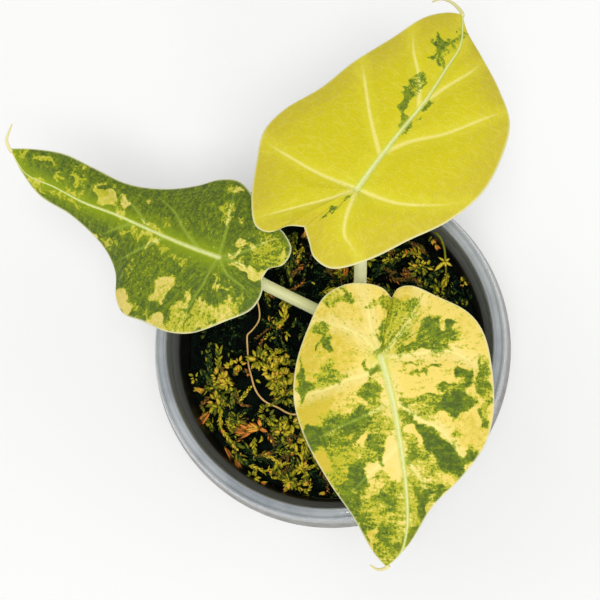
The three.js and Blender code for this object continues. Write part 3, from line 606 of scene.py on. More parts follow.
def plastic_material():
    """Clear plastic: painted shade on the inner wall above the moss, lightening to a painted grey
    reflection by the rim, a painted grey reflection on the ring and frosted on the skirt.
    """
    s = Shader("clear_plastic")
    place = s.place()
    x, y, z = s.add("ShaderNodeSeparateXYZ", None, Vector=place).outputs
    across = s.math("SQRT", s.plus(s.times(x, x), s.times(y, y)))
    cloud = s.noise(place, 60, 4)
    scratch = s.noise(place, 420, 3, 0.7)

    def span(value, start, end):
        """From 0 at start to 1 at end, both in millimetres."""
        return s.ramp(value, start * MM, end * MM)

    # Where the inner wall carries painted shade, and where the ring and skirt are
    inside = span(across, RING_INNER + 0.5, RING_INNER + 0.1)
    painted_shade_zone = s.times(inside, span(z, MOSS_Z - 10, MOSS_Z - 5))
    ring = s.times(span(z, POT_HEIGHT - 2.5, POT_HEIGHT - 1), span(across, RING_OUTER + 0.6, RING_OUTER))
    ring = s.times(ring, s.math("SUBTRACT", 1.0, inside))
    skirt = span(across, RING_OUTER + 0.2, SKIRT_RADIUS - 0.8)

    # Painted shade on the inner wall: near black by the moss, turning to a lighter painted reflection grey
    # towards the rim
    painted_wall_shade = s.mix(s.ramp(cloud, 0.35, 0.7), srgb(20, 19, 16), srgb(36, 34, 31))
    painted_wall_shade = s.mix(span(z, LEDGE_Z - 2, POT_HEIGHT - 2), painted_wall_shade, srgb(142, 145, 144))
    clear = s.mix(cloud, srgb(236, 239, 242), srgb(222, 226, 231))
    worn = s.mix(s.ramp(scratch, 0.35, 0.7), srgb(164, 161, 154), srgb(122, 120, 116))
    worn = s.mix(s.ramp(s.noise(place, 900, 2), 0.68, 0.74), worn, srgb(90, 92, 96))
    # Painted reflection: the grey that the clear ring shows, with the ring made mostly opaque below
    ring_painted_reflection = s.mix(s.ramp(cloud, 0.3, 0.7), srgb(192, 196, 200), srgb(144, 152, 160))
    colour = s.mix(painted_shade_zone, s.mix(ring, s.mix(skirt, clear, worn), ring_painted_reflection), painted_wall_shade)

    solid = s.most(s.times(ring, 0.75), s.times(painted_shade_zone, 0.94))
    solid = s.most(solid, s.times(skirt, 0.6))
    s.plug(s.surface.inputs["Transmission Weight"], s.math("SUBTRACT", 1.0, solid))
    rough = s.plus(s.ramp(cloud, 0.3, 0.7, 0.06, 0.12), s.times(s.most(skirt, painted_shade_zone), 0.3))
    height = s.plus(s.times(s.noise(place, 90, 2), 0.25), s.times(scratch, skirt))
    return s.finish(colour, rough, s.bump(height, 0.03, 0.4), IOR=1.45, Specular_IOR_Level=0.3)


# Pieces


def leaf_place(leaf, points):
    """Points of the leaf's own frame in the part's frame."""
    a = math.radians(leaf["heading"])
    x, y, z = np.moveaxis(np.asarray(points, float), -1, 0)
    ox, oy, oz = leaf["attach"]
    return np.stack([ox + x * math.sin(a) + y * math.cos(a), oy - x * math.cos(a) + y * math.sin(a),
                     oz + z], axis=-1)


def line_weight(plan, line, half_width, end_share):
    """How near each plan point lies to a vein that narrows to its end: 1 on it, 0 away from it."""
    path = dense_path([(x, y, 0) for x, y in line], 8)[:, :2]
    weight = np.zeros(len(plan))
    for i, point in enumerate(path):
        narrow = half_width * (end_share + (1 - end_share) * (1 - i / len(path)) ** 1.4)
        if i + 1 < len(path):
            step = path[i + 1] - point
            along = np.clip((plan - point) @ step / max(step @ step, 1e-9), 0, 1)
            gap = np.linalg.norm(plan - point - along[:, None] * step, axis=1)
            weight = np.maximum(weight, np.exp(-((gap / narrow) ** 2)))
    return weight


def blade_sheet(leaf):
    """Both halves ruled from midrib to edge: points, flow, distance to the edge, and faces."""
    along = np.linspace(0, 1, EDGE_STEPS + 1)
    start = np.clip((along - leaf["lobe"]) / (1 - leaf["lobe"]), 0, 1)
    inner = at_shares(dense_path(leaf["midrib"]), start)
    # Points lie closer together near the edge
    steps = 1 - (1 - np.linspace(0, 1, HALF_STEPS + 1)) ** 1.25
    out = steps[None, :, None]
    points, flow, margin, faces = [], [], [], []
    for side, sign in (("left", -1), ("right", 1)):
        edge = dense_path(leaf[side])
        to = at_shares(edge, along)
        width = np.linalg.norm(to - inner, axis=1)
        grid = inner[:, None] * (1 - out) + to[:, None] * out
        arch = leaf["crown"] * np.minimum(1, width / ARCH_WIDTH)
        grid[..., 2] += arch[:, None] * np.sin(np.pi * steps)
        first = sum(len(p) for p in points)
        points.append(grid.reshape(-1, 3))
        edge_mm = np.linalg.norm(np.diff(edge, axis=0), axis=1).sum()
        across = (width[:, None] * steps).ravel()
        # The streaks' noise runs from midrib to edge, with a shift that keeps the halves unlike
        ahead = np.repeat(along * edge_mm, HALF_STEPS + 1) + 50 * sign
        flow.append(np.stack([ahead, STREAK_STRETCH * across, np.zeros(across.size)], 1))
        margin.append((width[:, None] * (1 - steps)).ravel())
        corner = first + np.arange(EDGE_STEPS)[:, None] * (HALF_STEPS + 1) + np.arange(HALF_STEPS)
        quads = np.stack([corner, corner + 1, corner + HALF_STEPS + 2, corner + HALF_STEPS + 1], -1)
        quads = quads.reshape(-1, 4)
        faces.append(quads if sign < 0 else quads[:, ::-1])
    points, flow, margin, faces = (np.concatenate(x) for x in (points, flow, margin, faces))
    _, keep, same = np.unique(np.round(points, 4), axis=0, return_index=True, return_inverse=True)
    return points[keep], flow[keep], margin[keep], same.reshape(-1)[faces]


def closed_sheet(faces, margin):
    """Faces of the top and the underside, which meet at the rim, and the vertices that they use."""
    count = len(margin)
    quads = [tuple(dict.fromkeys(f)) for f in faces.tolist()]
    quads = [f for f in quads if len(f) > 2]
    lower = np.where(margin < 1e-6, 0, count) + np.arange(count)
    joined = quads + [tuple(int(lower[i]) for i in f[::-1]) for f in quads]
    used = np.unique(np.hstack(joined))
    renumber = np.full(2 * count, -1)
    renumber[used] = np.arange(len(used))
    return [tuple(int(renumber[i]) for i in f) for f in joined], used


def drip_tip(leaf):
    """The thread at the blade's end."""
    tip = np.array(leaf["midrib"][-1], float)
    start = 0.85 * tip + 0.15 * np.array(leaf["midrib"][-2])
    path = smooth_path(np.array([start, tip, *leaf["thread"]]) - (0, 0, BLADE / 2), THREAD_STEPS)
    radii = THREAD_RADIUS * (1 - 0.6 * np.linspace(0, 1, THREAD_STEPS))
    return tube(leaf_place(leaf, path), radii, 12)


def blade(name, leaf, material):
    """The blade as a thin sheet with rounded edges, sunken veins above and ribs below."""
    middle, flow, margin, faces = blade_sheet(leaf)
    plan = middle[:, :2]
    from_stalk = np.linalg.norm(plan, axis=1)
    midrib = [(x, y) for x, y, _ in leaf["midrib"]]
    main = line_weight(plan, midrib, leaf["rib"], MIDRIB_END)
    lesser = np.max([line_weight(plan, line, *SIDE_VEIN) for line in leaf["veins"]], axis=0)
    lesser *= np.clip(margin / 7, 0.15, 1)
    wide = np.max([line_weight(plan, line, *SIDE_VALLEY) for line in leaf["veins"]]
                  + [line_weight(plan, midrib, *MIDRIB_VALLEY)], axis=0)
    swell = FIELD_RISE * (1 - wide) * np.clip(margin / 5, 0, 1) - MIDRIB_SINK * main - SIDE_SINK * lesser
    full = np.sqrt(np.clip(1 - (1 - np.clip(margin / EDGE_ROUND, 0, 1)) ** 2, 0, 1))
    ribs = main * np.clip(1 - from_stalk / 55, 0.1, 1) + SIDE_RIB * lesser
    top, under = middle.copy(), middle.copy()
    top[:, 2] += swell - BLADE / 2 * (1 - full)
    under[:, 2] += swell - BLADE / 2 - (BLADE / 2 + ribs) * full
    faces, used = closed_sheet(faces, margin)
    thread, thread_faces = drip_tip(leaf)
    sheet = leaf_place(leaf, np.vstack([top, under]))[used]
    vertices, faces = merge([(sheet, faces), (thread, thread_faces)])

    # Values that the material reads: on both faces of the blade, and on the thread
    count, extra = len(plan), len(thread)
    hub = np.exp(-((from_stalk / HUB_RADIUS) ** 2))
    pattern = leaf_pattern(leaf, plan)
    values = {
        "axil": (line_weight(plan, midrib, *AXIL), 0),
        "hub": (hub, 0),
        "near": (wide, 0),
        "flow": (flow, (80, 0, 0)),
        "plan": (np.column_stack([plan, np.zeros(count)]), (80, 0, 0)),
        "green": (pattern["green"], -1),
        "yellow": (pattern["yellow"], 0),
        "vein": (main, 0),
        "lateral": (lesser, 0),
        "margin": (np.exp(-((margin / EDGE_ROUND) ** 2)), 0.7),
        "inner": (np.clip(margin / 11, 0, 1), 0),
    }
    attributes = {}
    for key, (on_blade, on_thread) in values.items():
        both = np.concatenate([on_blade, on_blade])[used]
        fill = np.broadcast_to(on_thread, (extra, *on_blade.shape[1:]))
        attributes[key] = np.concatenate([both, fill])
    attributes["under"] = np.concatenate([np.repeat((0, 1), count)[used], np.zeros(extra)])

    # The two faces side by side on the texture, and the thread in its corner
    low, high = plan.min(0), plan.max(0)
    flat = (plan - low) / (high - low).max() * 0.48
    uv = np.concatenate([flat + 0.01, flat + (0.51, 0.01)])[used]
    uv = np.concatenate([uv, np.full((extra, 2), 0.995)])
    return new_mesh(f"leaf_{name}", vertices, faces, material, [f"blade_{name}"],
                    attributes=attributes, uv=uv)


def wobble(plan, seed, wavelength, reach):
    """A smooth seeded shift of plan points, which gives the patches their ragged outlines."""
    rng = np.random.default_rng(seed)
    shift = np.zeros_like(plan)
    waves = 14
    for _ in range(waves):
        turn = 2 * np.pi * rng.random()
        scale = 2 * np.pi / (wavelength * (0.6 + 0.8 * rng.random()))
        phase = 2 * np.pi * rng.random(2)
        run = (plan[:, 0] * np.cos(turn) + plan[:, 1] * np.sin(turn)) * scale
        shift += np.sin(run[:, None] + phase)
    return plan + shift * reach * math.sqrt(2 / waves)


def leaf_pattern(leaf, plan):
    """Shares of green and of yellow tissue from listed patches."""
    values = {}
    plan = wobble(plan, seed=3, wavelength=5, reach=0.5)
    plan = wobble(plan, seed=4, wavelength=1.8, reach=0.28)
    for key in ("green", "yellow"):
        level = np.full(len(plan), leaf[f"{key}_ground"])
        for x, y, rx, ry, turn, target in leaf[key]:
            a = math.radians(turn)
            dx, dy = plan[:, 0] - x, plan[:, 1] - y
            u = (dx * math.cos(a) + dy * math.sin(a)) / rx
            v = (-dx * math.sin(a) + dy * math.cos(a)) / ry
            near = np.clip((1.5 - np.hypot(u, v)) / 0.75, 0, 1)
            level += (target - level) * near * near * (3 - 2 * near)
        values[key] = level
    return values


def stalk_foot(leaf):
    """Where a leaf's stalk stands on the rhizome, in plan."""
    a = math.radians(leaf["foot"])
    return CROWN[0] + STALK_CIRCLE * math.cos(a), CROWN[1] + STALK_CIRCLE * math.sin(a)


def stalk(name, leaf, material):
    x, y = stalk_foot(leaf)
    ox, oy, oz = leaf["attach"]
    count, sides = 110, 28
    foot = [(x, y, CROWN_Z + GAP), (x, y, CROWN_Z + 1.5)]
    path = smooth_path([*foot, *leaf["stalk"], (ox, oy, oz - 1.4)], count)
    share = np.linspace(0, 1, count)
    radii = STALK_RADIUS + (STALK_FOOT_RADIUS - STALK_RADIUS) * np.exp(-9 * share)
    radii *= 1 - 0.35 * np.clip((share - 0.94) / 0.06, 0, 1)
    vertices, faces = tube(path, radii, sides)
    turns = np.tile(np.arange(sides) / sides * 2 * np.pi, count)
    around = np.stack([np.cos(turns), np.sin(turns), np.repeat(share, sides) * 0.8], 1)
    low = np.exp(-8 * np.repeat(share, sides))
    return new_mesh(f"petiole_{name}", vertices, faces, material, [f"stalk_{name}"],
                    attributes={"around": around, "low": low})


def pot_piece(material):
    top = POT_HEIGHT
    throat = RING_INNER - 0.2
    corners = [
        (0, 0), (BASE_RADIUS - 1.5, 0), (BASE_RADIUS - 0.4, 0.4), (BASE_RADIUS, 1.5),
        (LEDGE_RADIUS, LEDGE_Z), (throat + WALL, LEDGE_Z + 1.2), (throat + WALL, top - 1.6),
        (RING_OUTER - 0.8, top - 1.3), (SKIRT_RADIUS - 0.8, top - SKIRT_DEPTH + 0.2),
        (SKIRT_RADIUS - 0.4, top - SKIRT_DEPTH), (SKIRT_RADIUS, top - SKIRT_DEPTH + 0.4),
        (RING_OUTER + 0.3, top - 0.8), (RING_OUTER, top - 0.1), (RING_OUTER - 0.3, top),
        (RING_OUTER - 0.7, top - GROOVE_DEPTH), (RING_INNER + 1.1, top - GROOVE_DEPTH),
        (RING_INNER + 0.7, top), (RING_INNER + 0.2, top - 0.1), (RING_INNER, top - 0.6),
        (throat, LEDGE_Z + 2), (LEDGE_RADIUS - WALL, LEDGE_Z + 0.5),
        (BASE_RADIUS - WALL, BASE_THICKNESS + 0.4), (BASE_RADIUS - WALL - 1, BASE_THICKNESS),
        (0, BASE_THICKNESS),
    ]
    ring = rounded(corners, 0.35)[1:-1]
    rows = len(ring)
    turns = 2 * np.pi * np.arange(POT_SIDES) / POT_SIDES
    wall = np.stack([np.outer(np.cos(turns), ring[:, 0]), np.outer(np.sin(turns), ring[:, 0]),
                     np.tile(ring[:, 1], (POT_SIDES, 1))], -1).reshape(-1, 3)
    vertices = np.vstack([wall, [(0, 0, 0), (0, 0, BASE_THICKNESS)]])
    faces = []
    for k in range(POT_SIDES):
        here, there = k * rows, ((k + 1) % POT_SIDES) * rows
        faces += [(here + i, there + i, there + i + 1, here + i + 1) for i in range(rows - 1)]
        faces.append((len(wall), there, here))
        faces.append((len(wall) + 1, here + rows - 1, there + rows - 1))
    piece = new_mesh("nursery_pot", vertices, faces, material, ["pot"])
    drills = []
    for i in range(DRAIN_HOLES):
        a = 2 * math.pi * (i + 0.5) / DRAIN_HOLES
        x, y = DRAIN_CIRCLE * math.cos(a), DRAIN_CIRCLE * math.sin(a)
        drills.append(tube(np.array([(x, y, z) for z in (-3, 1, 5)]), [DRAIN_RADIUS] * 3, 32))
    cut(piece, *merge(drills))
    return piece


def rounded(corners, size):
    """The profile with each inner corner cut to a small arc."""
    points = np.array(corners, float)
    out = [points[0]]
    for before, here, after in zip(points, points[1:], points[2:]):
        a, b = before - here, after - here
        ra = min(size, 0.4 * np.linalg.norm(a)) / np.linalg.norm(a)
        rb = min(size, 0.4 * np.linalg.norm(b)) / np.linalg.norm(b)
        start, end = here + a * ra, here + b * rb
        for t in (0, 1 / 3, 2 / 3, 1):
            out.append((1 - t) ** 2 * start + 2 * t * (1 - t) * here + t * t * end)
    out.append(points[-1])
    return np.array(out)


def cut(piece, vertices, faces):
    """Cuts closed shapes out of a piece."""
    mesh = bpy.data.meshes.new("drill")
    mesh.from_pydata((vertices * MM).tolist(), [], faces)
    drill = new_object("drill", mesh)
    modifier = piece.modifiers.new("holes", "BOOLEAN")
    modifier.operation = "DIFFERENCE"
    modifier.object = drill
    modifier.solver = "EXACT"
    bpy.context.view_layer.update()
    result = piece.evaluated_get(bpy.context.evaluated_depsgraph_get())
    shape = bpy.data.meshes.new_from_object(result)
    piece.modifiers.clear()
    piece.data = shape
    bpy.data.objects.remove(drill)


# Moss


def wall_radius(z):
    return np.interp(z, [BASE_THICKNESS, LEDGE_Z], [BASE_RADIUS - WALL, LEDGE_RADIUS - WALL])


def moss_height(x, y):
    swell = 1.4 * np.sin(0.15 * x + 0.6) * np.cos(0.13 * y - 0.5)
    lumps = 0.9 * np.sin(0.41 * x - 0.23 * y + 2) + 0.6 * np.sin(0.33 * y + 0.52 * x - 1)
    dip = 1.2 * np.maximum(0, np.hypot(x, y) / BED_RADIUS - 0.75) / 0.25
    return MOSS_Z + swell + lumps - dip


def moss_bed(material):
    """The body of the moss, lumpy on top, with a pit for the crown: near black on top, as dark moss and
    painted shade, lighter down the sides.
    """
    sides, rings, rows = 240, 50, 24
    rng = np.random.default_rng(5)
    turns = 2 * np.pi * np.arange(sides) / sides
    bottom = BASE_THICKNESS + GAP
    loops = []
    for z in np.linspace(bottom, MOSS_Z - 6, rows + 1):
        radius = wall_radius(z) - BODY_DRAWN_IN - 0.5 * rng.random(sides)
        loops.append(np.stack([radius * np.cos(turns), radius * np.sin(turns), np.full(sides, z)], 1))
    edge = wall_radius(MOSS_Z - 4) - 0.3
    for i in range(rings):
        x, y = edge * (1 - i / rings) * np.cos(turns), edge * (1 - i / rings) * np.sin(turns)
        z = moss_height(x, y) - 0.6 - 1.8 * rng.random(sides)
        loops.append(np.stack([x, y, z], 1))
    vertices = np.vstack(loops + [[(0, 0, moss_height(0, 0) - 1)], [(0, 0, bottom)]])
    faces = ring_faces(len(loops), sides)
    last = (len(loops) - 1) * sides
    for k in range(sides):
        n = (k + 1) % sides
        faces.append((last + k, last + n, len(vertices) - 2))
        faces.append((n, k, len(vertices) - 1))
    # Tone: near black on top, dark moss and painted shade for the gaps between the strands; lighter further
    # down the sides
    depth = np.clip((MOSS_Z - 5 - vertices[:, 2]) / 4, 0, 1)
    tones = 0.02 + 0.12 * rng.random(len(vertices)) + 0.28 * depth
    body = new_mesh("moss_body", vertices, faces, material, ["moss_bed"],
                    attributes={"tone": tones})
    pit = [(CROWN[0], CROWN[1], z) for z in (CROWN_Z - RHIZOME_LENGTH - GAP, CROWN_Z - 8, CROWN_Z + 14)]
    burrows = [tube(path, root_radii(path) + GAP, 12) for path in root_paths()]
    cut(body, *tube(np.array(pit), [RHIZOME_RADIUS + GAP] * 3, 48))
    for burrow in burrows:
        cut(body, *burrow)
    return body


# A scale's cross sections: share of its length, share of its width
SIMPLE = ((0.45, 1.0),)
OVATE = ((0.28, 0.9), (0.62, 0.8))


class Fragments:
    """Collects plump scales and thin stems, and makes them one piece."""

    def __init__(self, seed, sections):
        self.rng = np.random.default_rng(seed)
        self.sections = sections
        self.rows = []
        self.stems = []
        self.stem_tones = []

    def scales(self, base, along, up, length, width, tone):
        """One scale for each base point, pointing along, with its flat side up."""
        count = len(base)
        columns = [np.full(count, c, float)[:, None] for c in (length, width, tone)]
        self.rows.append(np.hstack([base, unit(along), unit(up), *columns]))

    def strand(self, path, width, tone, per_mm=2.6):
        """A stem wrapped in scales that turn round it and lean to its end."""
        steps = np.linalg.norm(np.diff(path, axis=0), axis=1)
        count = max(4, int(per_mm * steps.sum()))
        at = np.linspace(0, len(path) - 1.001, count)
        low = at.astype(int)
        base = path[low] + (at - low)[:, None] * (path[low + 1] - path[low])
        ahead = unit(path[low + 1] - path[low])
        turn = 2.4 * np.arange(count) + self.rng.normal(size=count) * 0.4
        first = unit(np.cross(ahead, (0.2, 0.1, 1)))
        second = np.cross(ahead, first)
        outward = first * np.cos(turn)[:, None] + second * np.sin(turn)[:, None]
        spread = 0.3 + 0.6 * self.rng.random((count, 1))
        length = width * (0.65 + 0.7 * self.rng.random(count)) * (1 - 0.35 * at / len(path))
        tones = tone + 0.08 * self.rng.normal(size=count)
        self.scales(base, ahead + outward * spread, outward, length, 0.54 * width, tones)
        self.stems.append(tube(path, 0.16 * width * np.linspace(1, 0.5, len(path)), 4))
        self.stem_tones.append(tone - 0.05)

    def tuft(self, x, y, size, tone, lobes, lift, slim=0.3):
        """A head of scales that point up and out."""
        turn = 2 * np.pi * self.rng.random(lobes)
        rise = 1.1 * self.rng.random(lobes)
        along = np.stack([np.cos(turn), np.sin(turn), rise], 1)
        centre = np.array([x, y, moss_height(x, y) + lift])
        base = centre + 0.3 * size * along * (0.2 + 0.8 * self.rng.random((lobes, 1)))
        up = np.stack([-np.cos(turn) * rise, -np.sin(turn) * rise, np.ones(lobes)], 1)
        size_each = size * (0.75 + 0.7 * self.rng.random(lobes))
        tones = np.minimum(tone - 0.04 + 0.1 * self.rng.normal(size=lobes), 0.78)
        self.scales(base, along, up, 0.62 * size_each, slim * size_each, tones)

    def flake(self, start, end, width, tone, lift=1.4, slivers=5):
        """Slivers side by side from start to end: a dry flake with a ragged end."""
        (x, y), (ex, ey) = start, end
        length = math.hypot(ex - x, ey - y)
        ahead = np.array((ex - x, ey - y)) / length
        across = np.array((-ahead[1], ahead[0]))
        place = (np.arange(slivers) + 0.5) / slivers - 0.5
        shift = 0.25 * length * self.rng.random(slivers)
        base = np.array((x, y)) + np.outer(0.3 * width * place, across) + np.outer(shift, ahead)
        height = moss_height(x, y) + lift + 0.15 * self.rng.normal(size=slivers)
        lean = np.outer(place * width / length, across) + ahead
        lean = np.column_stack([lean, 0.12 + 0.08 * self.rng.normal(size=slivers)])
        reach = (length - shift) * (0.75 + 0.3 * self.rng.random(slivers))
        self.scales(np.column_stack([base, height]), lean, np.tile((0, 0, 1), (slivers, 1)), reach,
                    1.5 * width / slivers, tone + 0.05 * self.rng.normal(size=slivers))

    def piece(self, name, material):
        """All scales and stems as one mesh. A scale has its base, four corners to each cross section and
        its tip, and is painted darkest at the base and below and lightest on top and at the tip, as painted
        shade and light."""
        base, along, up, length, width, tone = np.split(np.vstack(self.rows), (3, 6, 9, 10, 11), axis=1)
        up = unit(up - along * (up * along).sum(1, keepdims=True))
        side = np.cross(along, up)
        corners = [base]
        # Painted shade and light: a scale's tone is lowered at its base and underside and raised on top and
        # at its tip
        tones = [tone - 0.08]
        for share, breadth in self.sections:
            middle = base + along * length * share + up * length * 0.06
            half = width * breadth / 2
            corners += [middle + side * half, middle + up * half * 0.4, middle - side * half,
                        middle - up * half * 0.4]
            tones += [tone - 0.03, tone + 0.04, tone - 0.03, tone - 0.1]
        corners.append(base + along * length)
        tones.append(tone + 0.05)
        last = len(corners) - 1

        # One scale's triangles: fans at base and tip, and quads cut in two between the cross sections
        pattern = []
        for k in range(4):
            n = (k + 1) % 4
            pattern += [(0, 1 + n, 1 + k), (last, last - 4 + k, last - 4 + n)]
            for ring in range(1, last - 4, 4):
                pattern += [(ring + k, ring + n, ring + 4 + n), (ring + k, ring + 4 + n, ring + 4 + k)]
        points = np.stack(corners, 1).reshape(-1, 3)
        faces = ((last + 1) * np.arange(len(base))[:, None, None] + np.array(pattern)).reshape(-1, 3)
        stem_tones = [np.full(len(v), t) for (v, _), t in zip(self.stems, self.stem_tones)]
        tones = np.concatenate([np.hstack(tones).ravel(), *stem_tones])
        vertices, faces = merge([(points, [tuple(f) for f in faces.tolist()]), *self.stems])
        return new_mesh(name, vertices, faces, material, attributes={"tone": tones})


def clear_of_stalks(path):
    """True if a strand keeps off the stalks' feet."""
    for leaf in LEAVES.values():
        x, y = stalk_foot(leaf)
        if np.hypot(path[:, 0] - x, path[:, 1] - y).min() < STALK_FOOT_RADIUS + 1:
            return False
    return True


def under_runner(path, runner):
    """True if a strand nowhere lies over the fine root."""
    gap = np.hypot(path[:, None, 0] - runner[None, :, 0], path[:, None, 1] - runner[None, :, 1])
    near = gap.argmin(1)
    close = gap.min(1) < 1.7
    return not (close & (path[:, 2] > runner[near, 2] - 1.3)).any()


def lying_path(rng, x, y, heading, length, lift, hump):
    """A strand's way over the bed: a bent line with a low hump."""
    s = np.linspace(0, length, 7)
    turn = heading + rng.normal() * 0.14 * s
    px = x + np.concatenate([[0], np.cumsum(np.cos(turn[:-1]) * np.diff(s))])
    py = y + np.concatenate([[0], np.cumsum(np.sin(turn[:-1]) * np.diff(s))])
    pz = moss_height(px, py) + lift + hump * np.sin(np.pi * s / length)
    return np.stack([px, py, pz], 1)


def near_any(x, y, spots):
    """The strongest pull of round spots (x, y, radius, strength) at a place."""
    return max(w * math.exp(-(((x - sx) ** 2 + (y - sy) ** 2) / r ** 2)) for sx, sy, r, w in spots)


# Spots of the bed: place, radius, strength
PALE_SPOTS = [
    (-14, -9, 8, 0.9), (-28, -10, 6, 0.6), (-22, -22, 8, 0.8), (-9, -24, 8, 0.9), (-9, -33, 8, 0.8),
    (8, -33, 9, 0.4), (22, 22, 4, 0.6), (4, 21, 6, 0.6), (-6, 29, 8, 0.7), (15, 27, 8, 0.8),
]
# Fewer pale strands: the painted shadow of the left leaf at the upper left, and dark star moss at the upper
# right
DARK_AND_SHADE_SPOTS = [(-31, 8, 13, 1), (33, 12, 10, 0.9)]
# Less green moss, so the near-black bed shows as painted shade: under the left leaf and in pits
BARE_SHADE_SPOTS = [(-30, 6, 10, 1), (-20, -13, 4, 0.9), (-12, -25, 3, 0.9)]
TUFT_SPOTS = [(30, 12, 12, 1)]


def lightness(x, y):
    """How likely pale moss is at a place."""
    pale = near_any(x, y, PALE_SPOTS)
    dark = near_any(x, y, DARK_AND_SHADE_SPOTS)
    return max(0.12 * (1 - dark), pale)


def anywhere(x, y):
    return 1


def greenness(x, y):
    """How likely the middle layer of green moss is at a place."""
    return 1 - 0.85 * near_any(x, y, BARE_SHADE_SPOTS)


def within(share, ends):
    return np.interp(share, (0, 1), ends)


def strewn(bits, count, likely, lengths, widths, lifts, tones):
    """Strands strewn over the bed; likely(x, y) is the chance that one stays at a place."""
    runner = runner_path(60)
    done = 0
    while done < count:
        distance = BED_RADIUS * math.sqrt(bits.rng.random())
        angle = 2 * math.pi * bits.rng.random()
        x, y = distance * math.cos(angle), distance * math.sin(angle)
        draws = bits.rng.random(6)
        path = lying_path(bits.rng, x, y, 2 * math.pi * draws[0], within(draws[1], lengths),
                          within(draws[2], lifts), 0.3 + 1.2 * draws[3])
        width = within(draws[4], widths)
        reach = np.hypot(path[:, 0], path[:, 1]).max() + 0.5 * width
        if draws[5] > likely(x, y) or reach > STRAND_REACH:
            continue
        if not (clear_of_stalks(path) and under_runner(path, runner)):
            continue
        bits.strand(path, width, within(bits.rng.random(), tones))
        done += 1


def dark_and_shade_moss(material):
    bits = Fragments(11, SIMPLE)
    # A low layer of near-black strands: dark moss and painted shade beneath the upper strands
    strewn(bits, 640, anywhere, lengths=(4, 9), widths=(1.1, 2), lifts=(-1.4, 0.2), tones=(0.02, 0.26))
    strewn(bits, 150, greenness, lengths=(3, 8), widths=(1.2, 2.2), lifts=(-0.4, 0.6), tones=(0.26, 0.44))
    for _ in range(90):
        x, y = 34 * bits.rng.random() + 6, 27 * bits.rng.random() - 2
        if math.hypot(x, y) < 37.5 and bits.rng.random() < near_any(x, y, TUFT_SPOTS):
            bits.tuft(x, y, 2.2 + 1.2 * bits.rng.random(), 0.24 + 0.16 * bits.rng.random(), 20, 0.5, 0.2)
    return bits.piece("moss_shade_and_dark", material)


def pale_moss(material):
    """Olive and yellow strands, round heads, brown flakes and one orange frond."""
    bits = Fragments(12, OVATE)
    strewn(bits, 105, lightness, lengths=(3, 8), widths=(1.6, 2.8), lifts=(-0.4, 0.8), tones=(0.36, 0.7))
    strewn(bits, 80, lightness, lengths=(3, 7), widths=(1.2, 2), lifts=(-0.2, 1), tones=(1.03, 1.12))
    for x, y, size, tone, lobes in PALE_HEADS:
        bits.tuft(x, y, size, tone, lobes, 1.0)
    for line, width, tone in PALE_STRANDS:
        plan = smooth_path([(x, y, 0) for x, y in line], 12)
        plan[:, 2] = moss_height(plan[:, 0], plan[:, 1]) + 1.4
        bits.strand(plan, width, tone, 3.2)
    for start, end, width in FROND:
        bits.flake(start, end, width, 0.87, 3.4, 2)
    crumbs = 0
    while crumbs < 60:
        x, y = 2 * BED_RADIUS * bits.rng.random(2) - BED_RADIUS
        if math.hypot(x, y) < 36.5 and bits.rng.random() < lightness(x, y):
            turn = 2 * math.pi * bits.rng.random()
            base = np.array([(x, y, moss_height(x, y) + 0.2 + 1.2 * bits.rng.random())])
            along = [(math.cos(turn), math.sin(turn), 0.5 * bits.rng.random())]
            size = 1.0 + 1.1 * bits.rng.random()
            bits.scales(base, along, [(0, 0, 1)], size, 0.5 * size, 0.42 + 0.34 * bits.rng.random())
            crumbs += 1
    for start, end, width, tone in FLAKES:
        bits.flake(start, end, width, tone)
    return bits.piece("moss_pale", material)


def sprout(material):
    """A seedling's arched stem with a star of small leaves."""
    bits = Fragments(14, OVATE)
    stem = smooth_path(SPROUT_STEM, 60)
    bits.stems.append(tube(stem, 0.3 * np.linspace(1.15, 0.85, 60), 10))
    bits.stem_tones.append(0.5)
    heart = np.array(SPROUT_HEART, float)
    for x, y, z, width in SPROUT_LEAVES:
        along = np.array((x, y, z), float) - heart
        bits.scales(heart[None], [along], [(0, 0, 1)], np.linalg.norm(along), width, 0.7)
    return bits.piece("sprout", material)


def wall_moss(material):
    """Strands pressed to the inside of the wall, which shows them from the sides."""
    bits = Fragments(13, SIMPLE)
    for _ in range(WALL_STRANDS):
        draws = bits.rng.random(6)
        z = 7 + 55 * draws[0]
        heading = 2 * math.pi * draws[1]
        s = np.linspace(0, 4 + 6 * draws[2], 7)
        turn = heading + 0.1 * s * bits.rng.normal()
        heights = np.clip(z + np.cumsum(np.sin(turn)) * s[1], *WALL_STRAND_Z)
        angles = 2 * math.pi * draws[3] + np.cumsum(np.cos(turn)) * s[1] / 36
        radii = wall_radius(heights) - WALL_STRAND_GAP - 0.8 * bits.rng.random()
        path = np.stack([radii * np.cos(angles), radii * np.sin(angles), heights], 1)
        bits.strand(path, 1.9 + 1.3 * draws[4], 0.34 + 0.44 * draws[5], 1.4)
    # Scales whose tips would reach through the wall are drawn in
    for row in bits.rows:
        reach = np.hypot(row[:, 0] + row[:, 3] * row[:, 9], row[:, 1] + row[:, 4] * row[:, 9])
        over = np.maximum(0, reach - wall_radius(row[:, 2]) + 0.35)
        outward = unit(row[:, :2])
        row[:, :2] -= outward * over[:, None]
    return bits.piece("moss_at_wall", material)


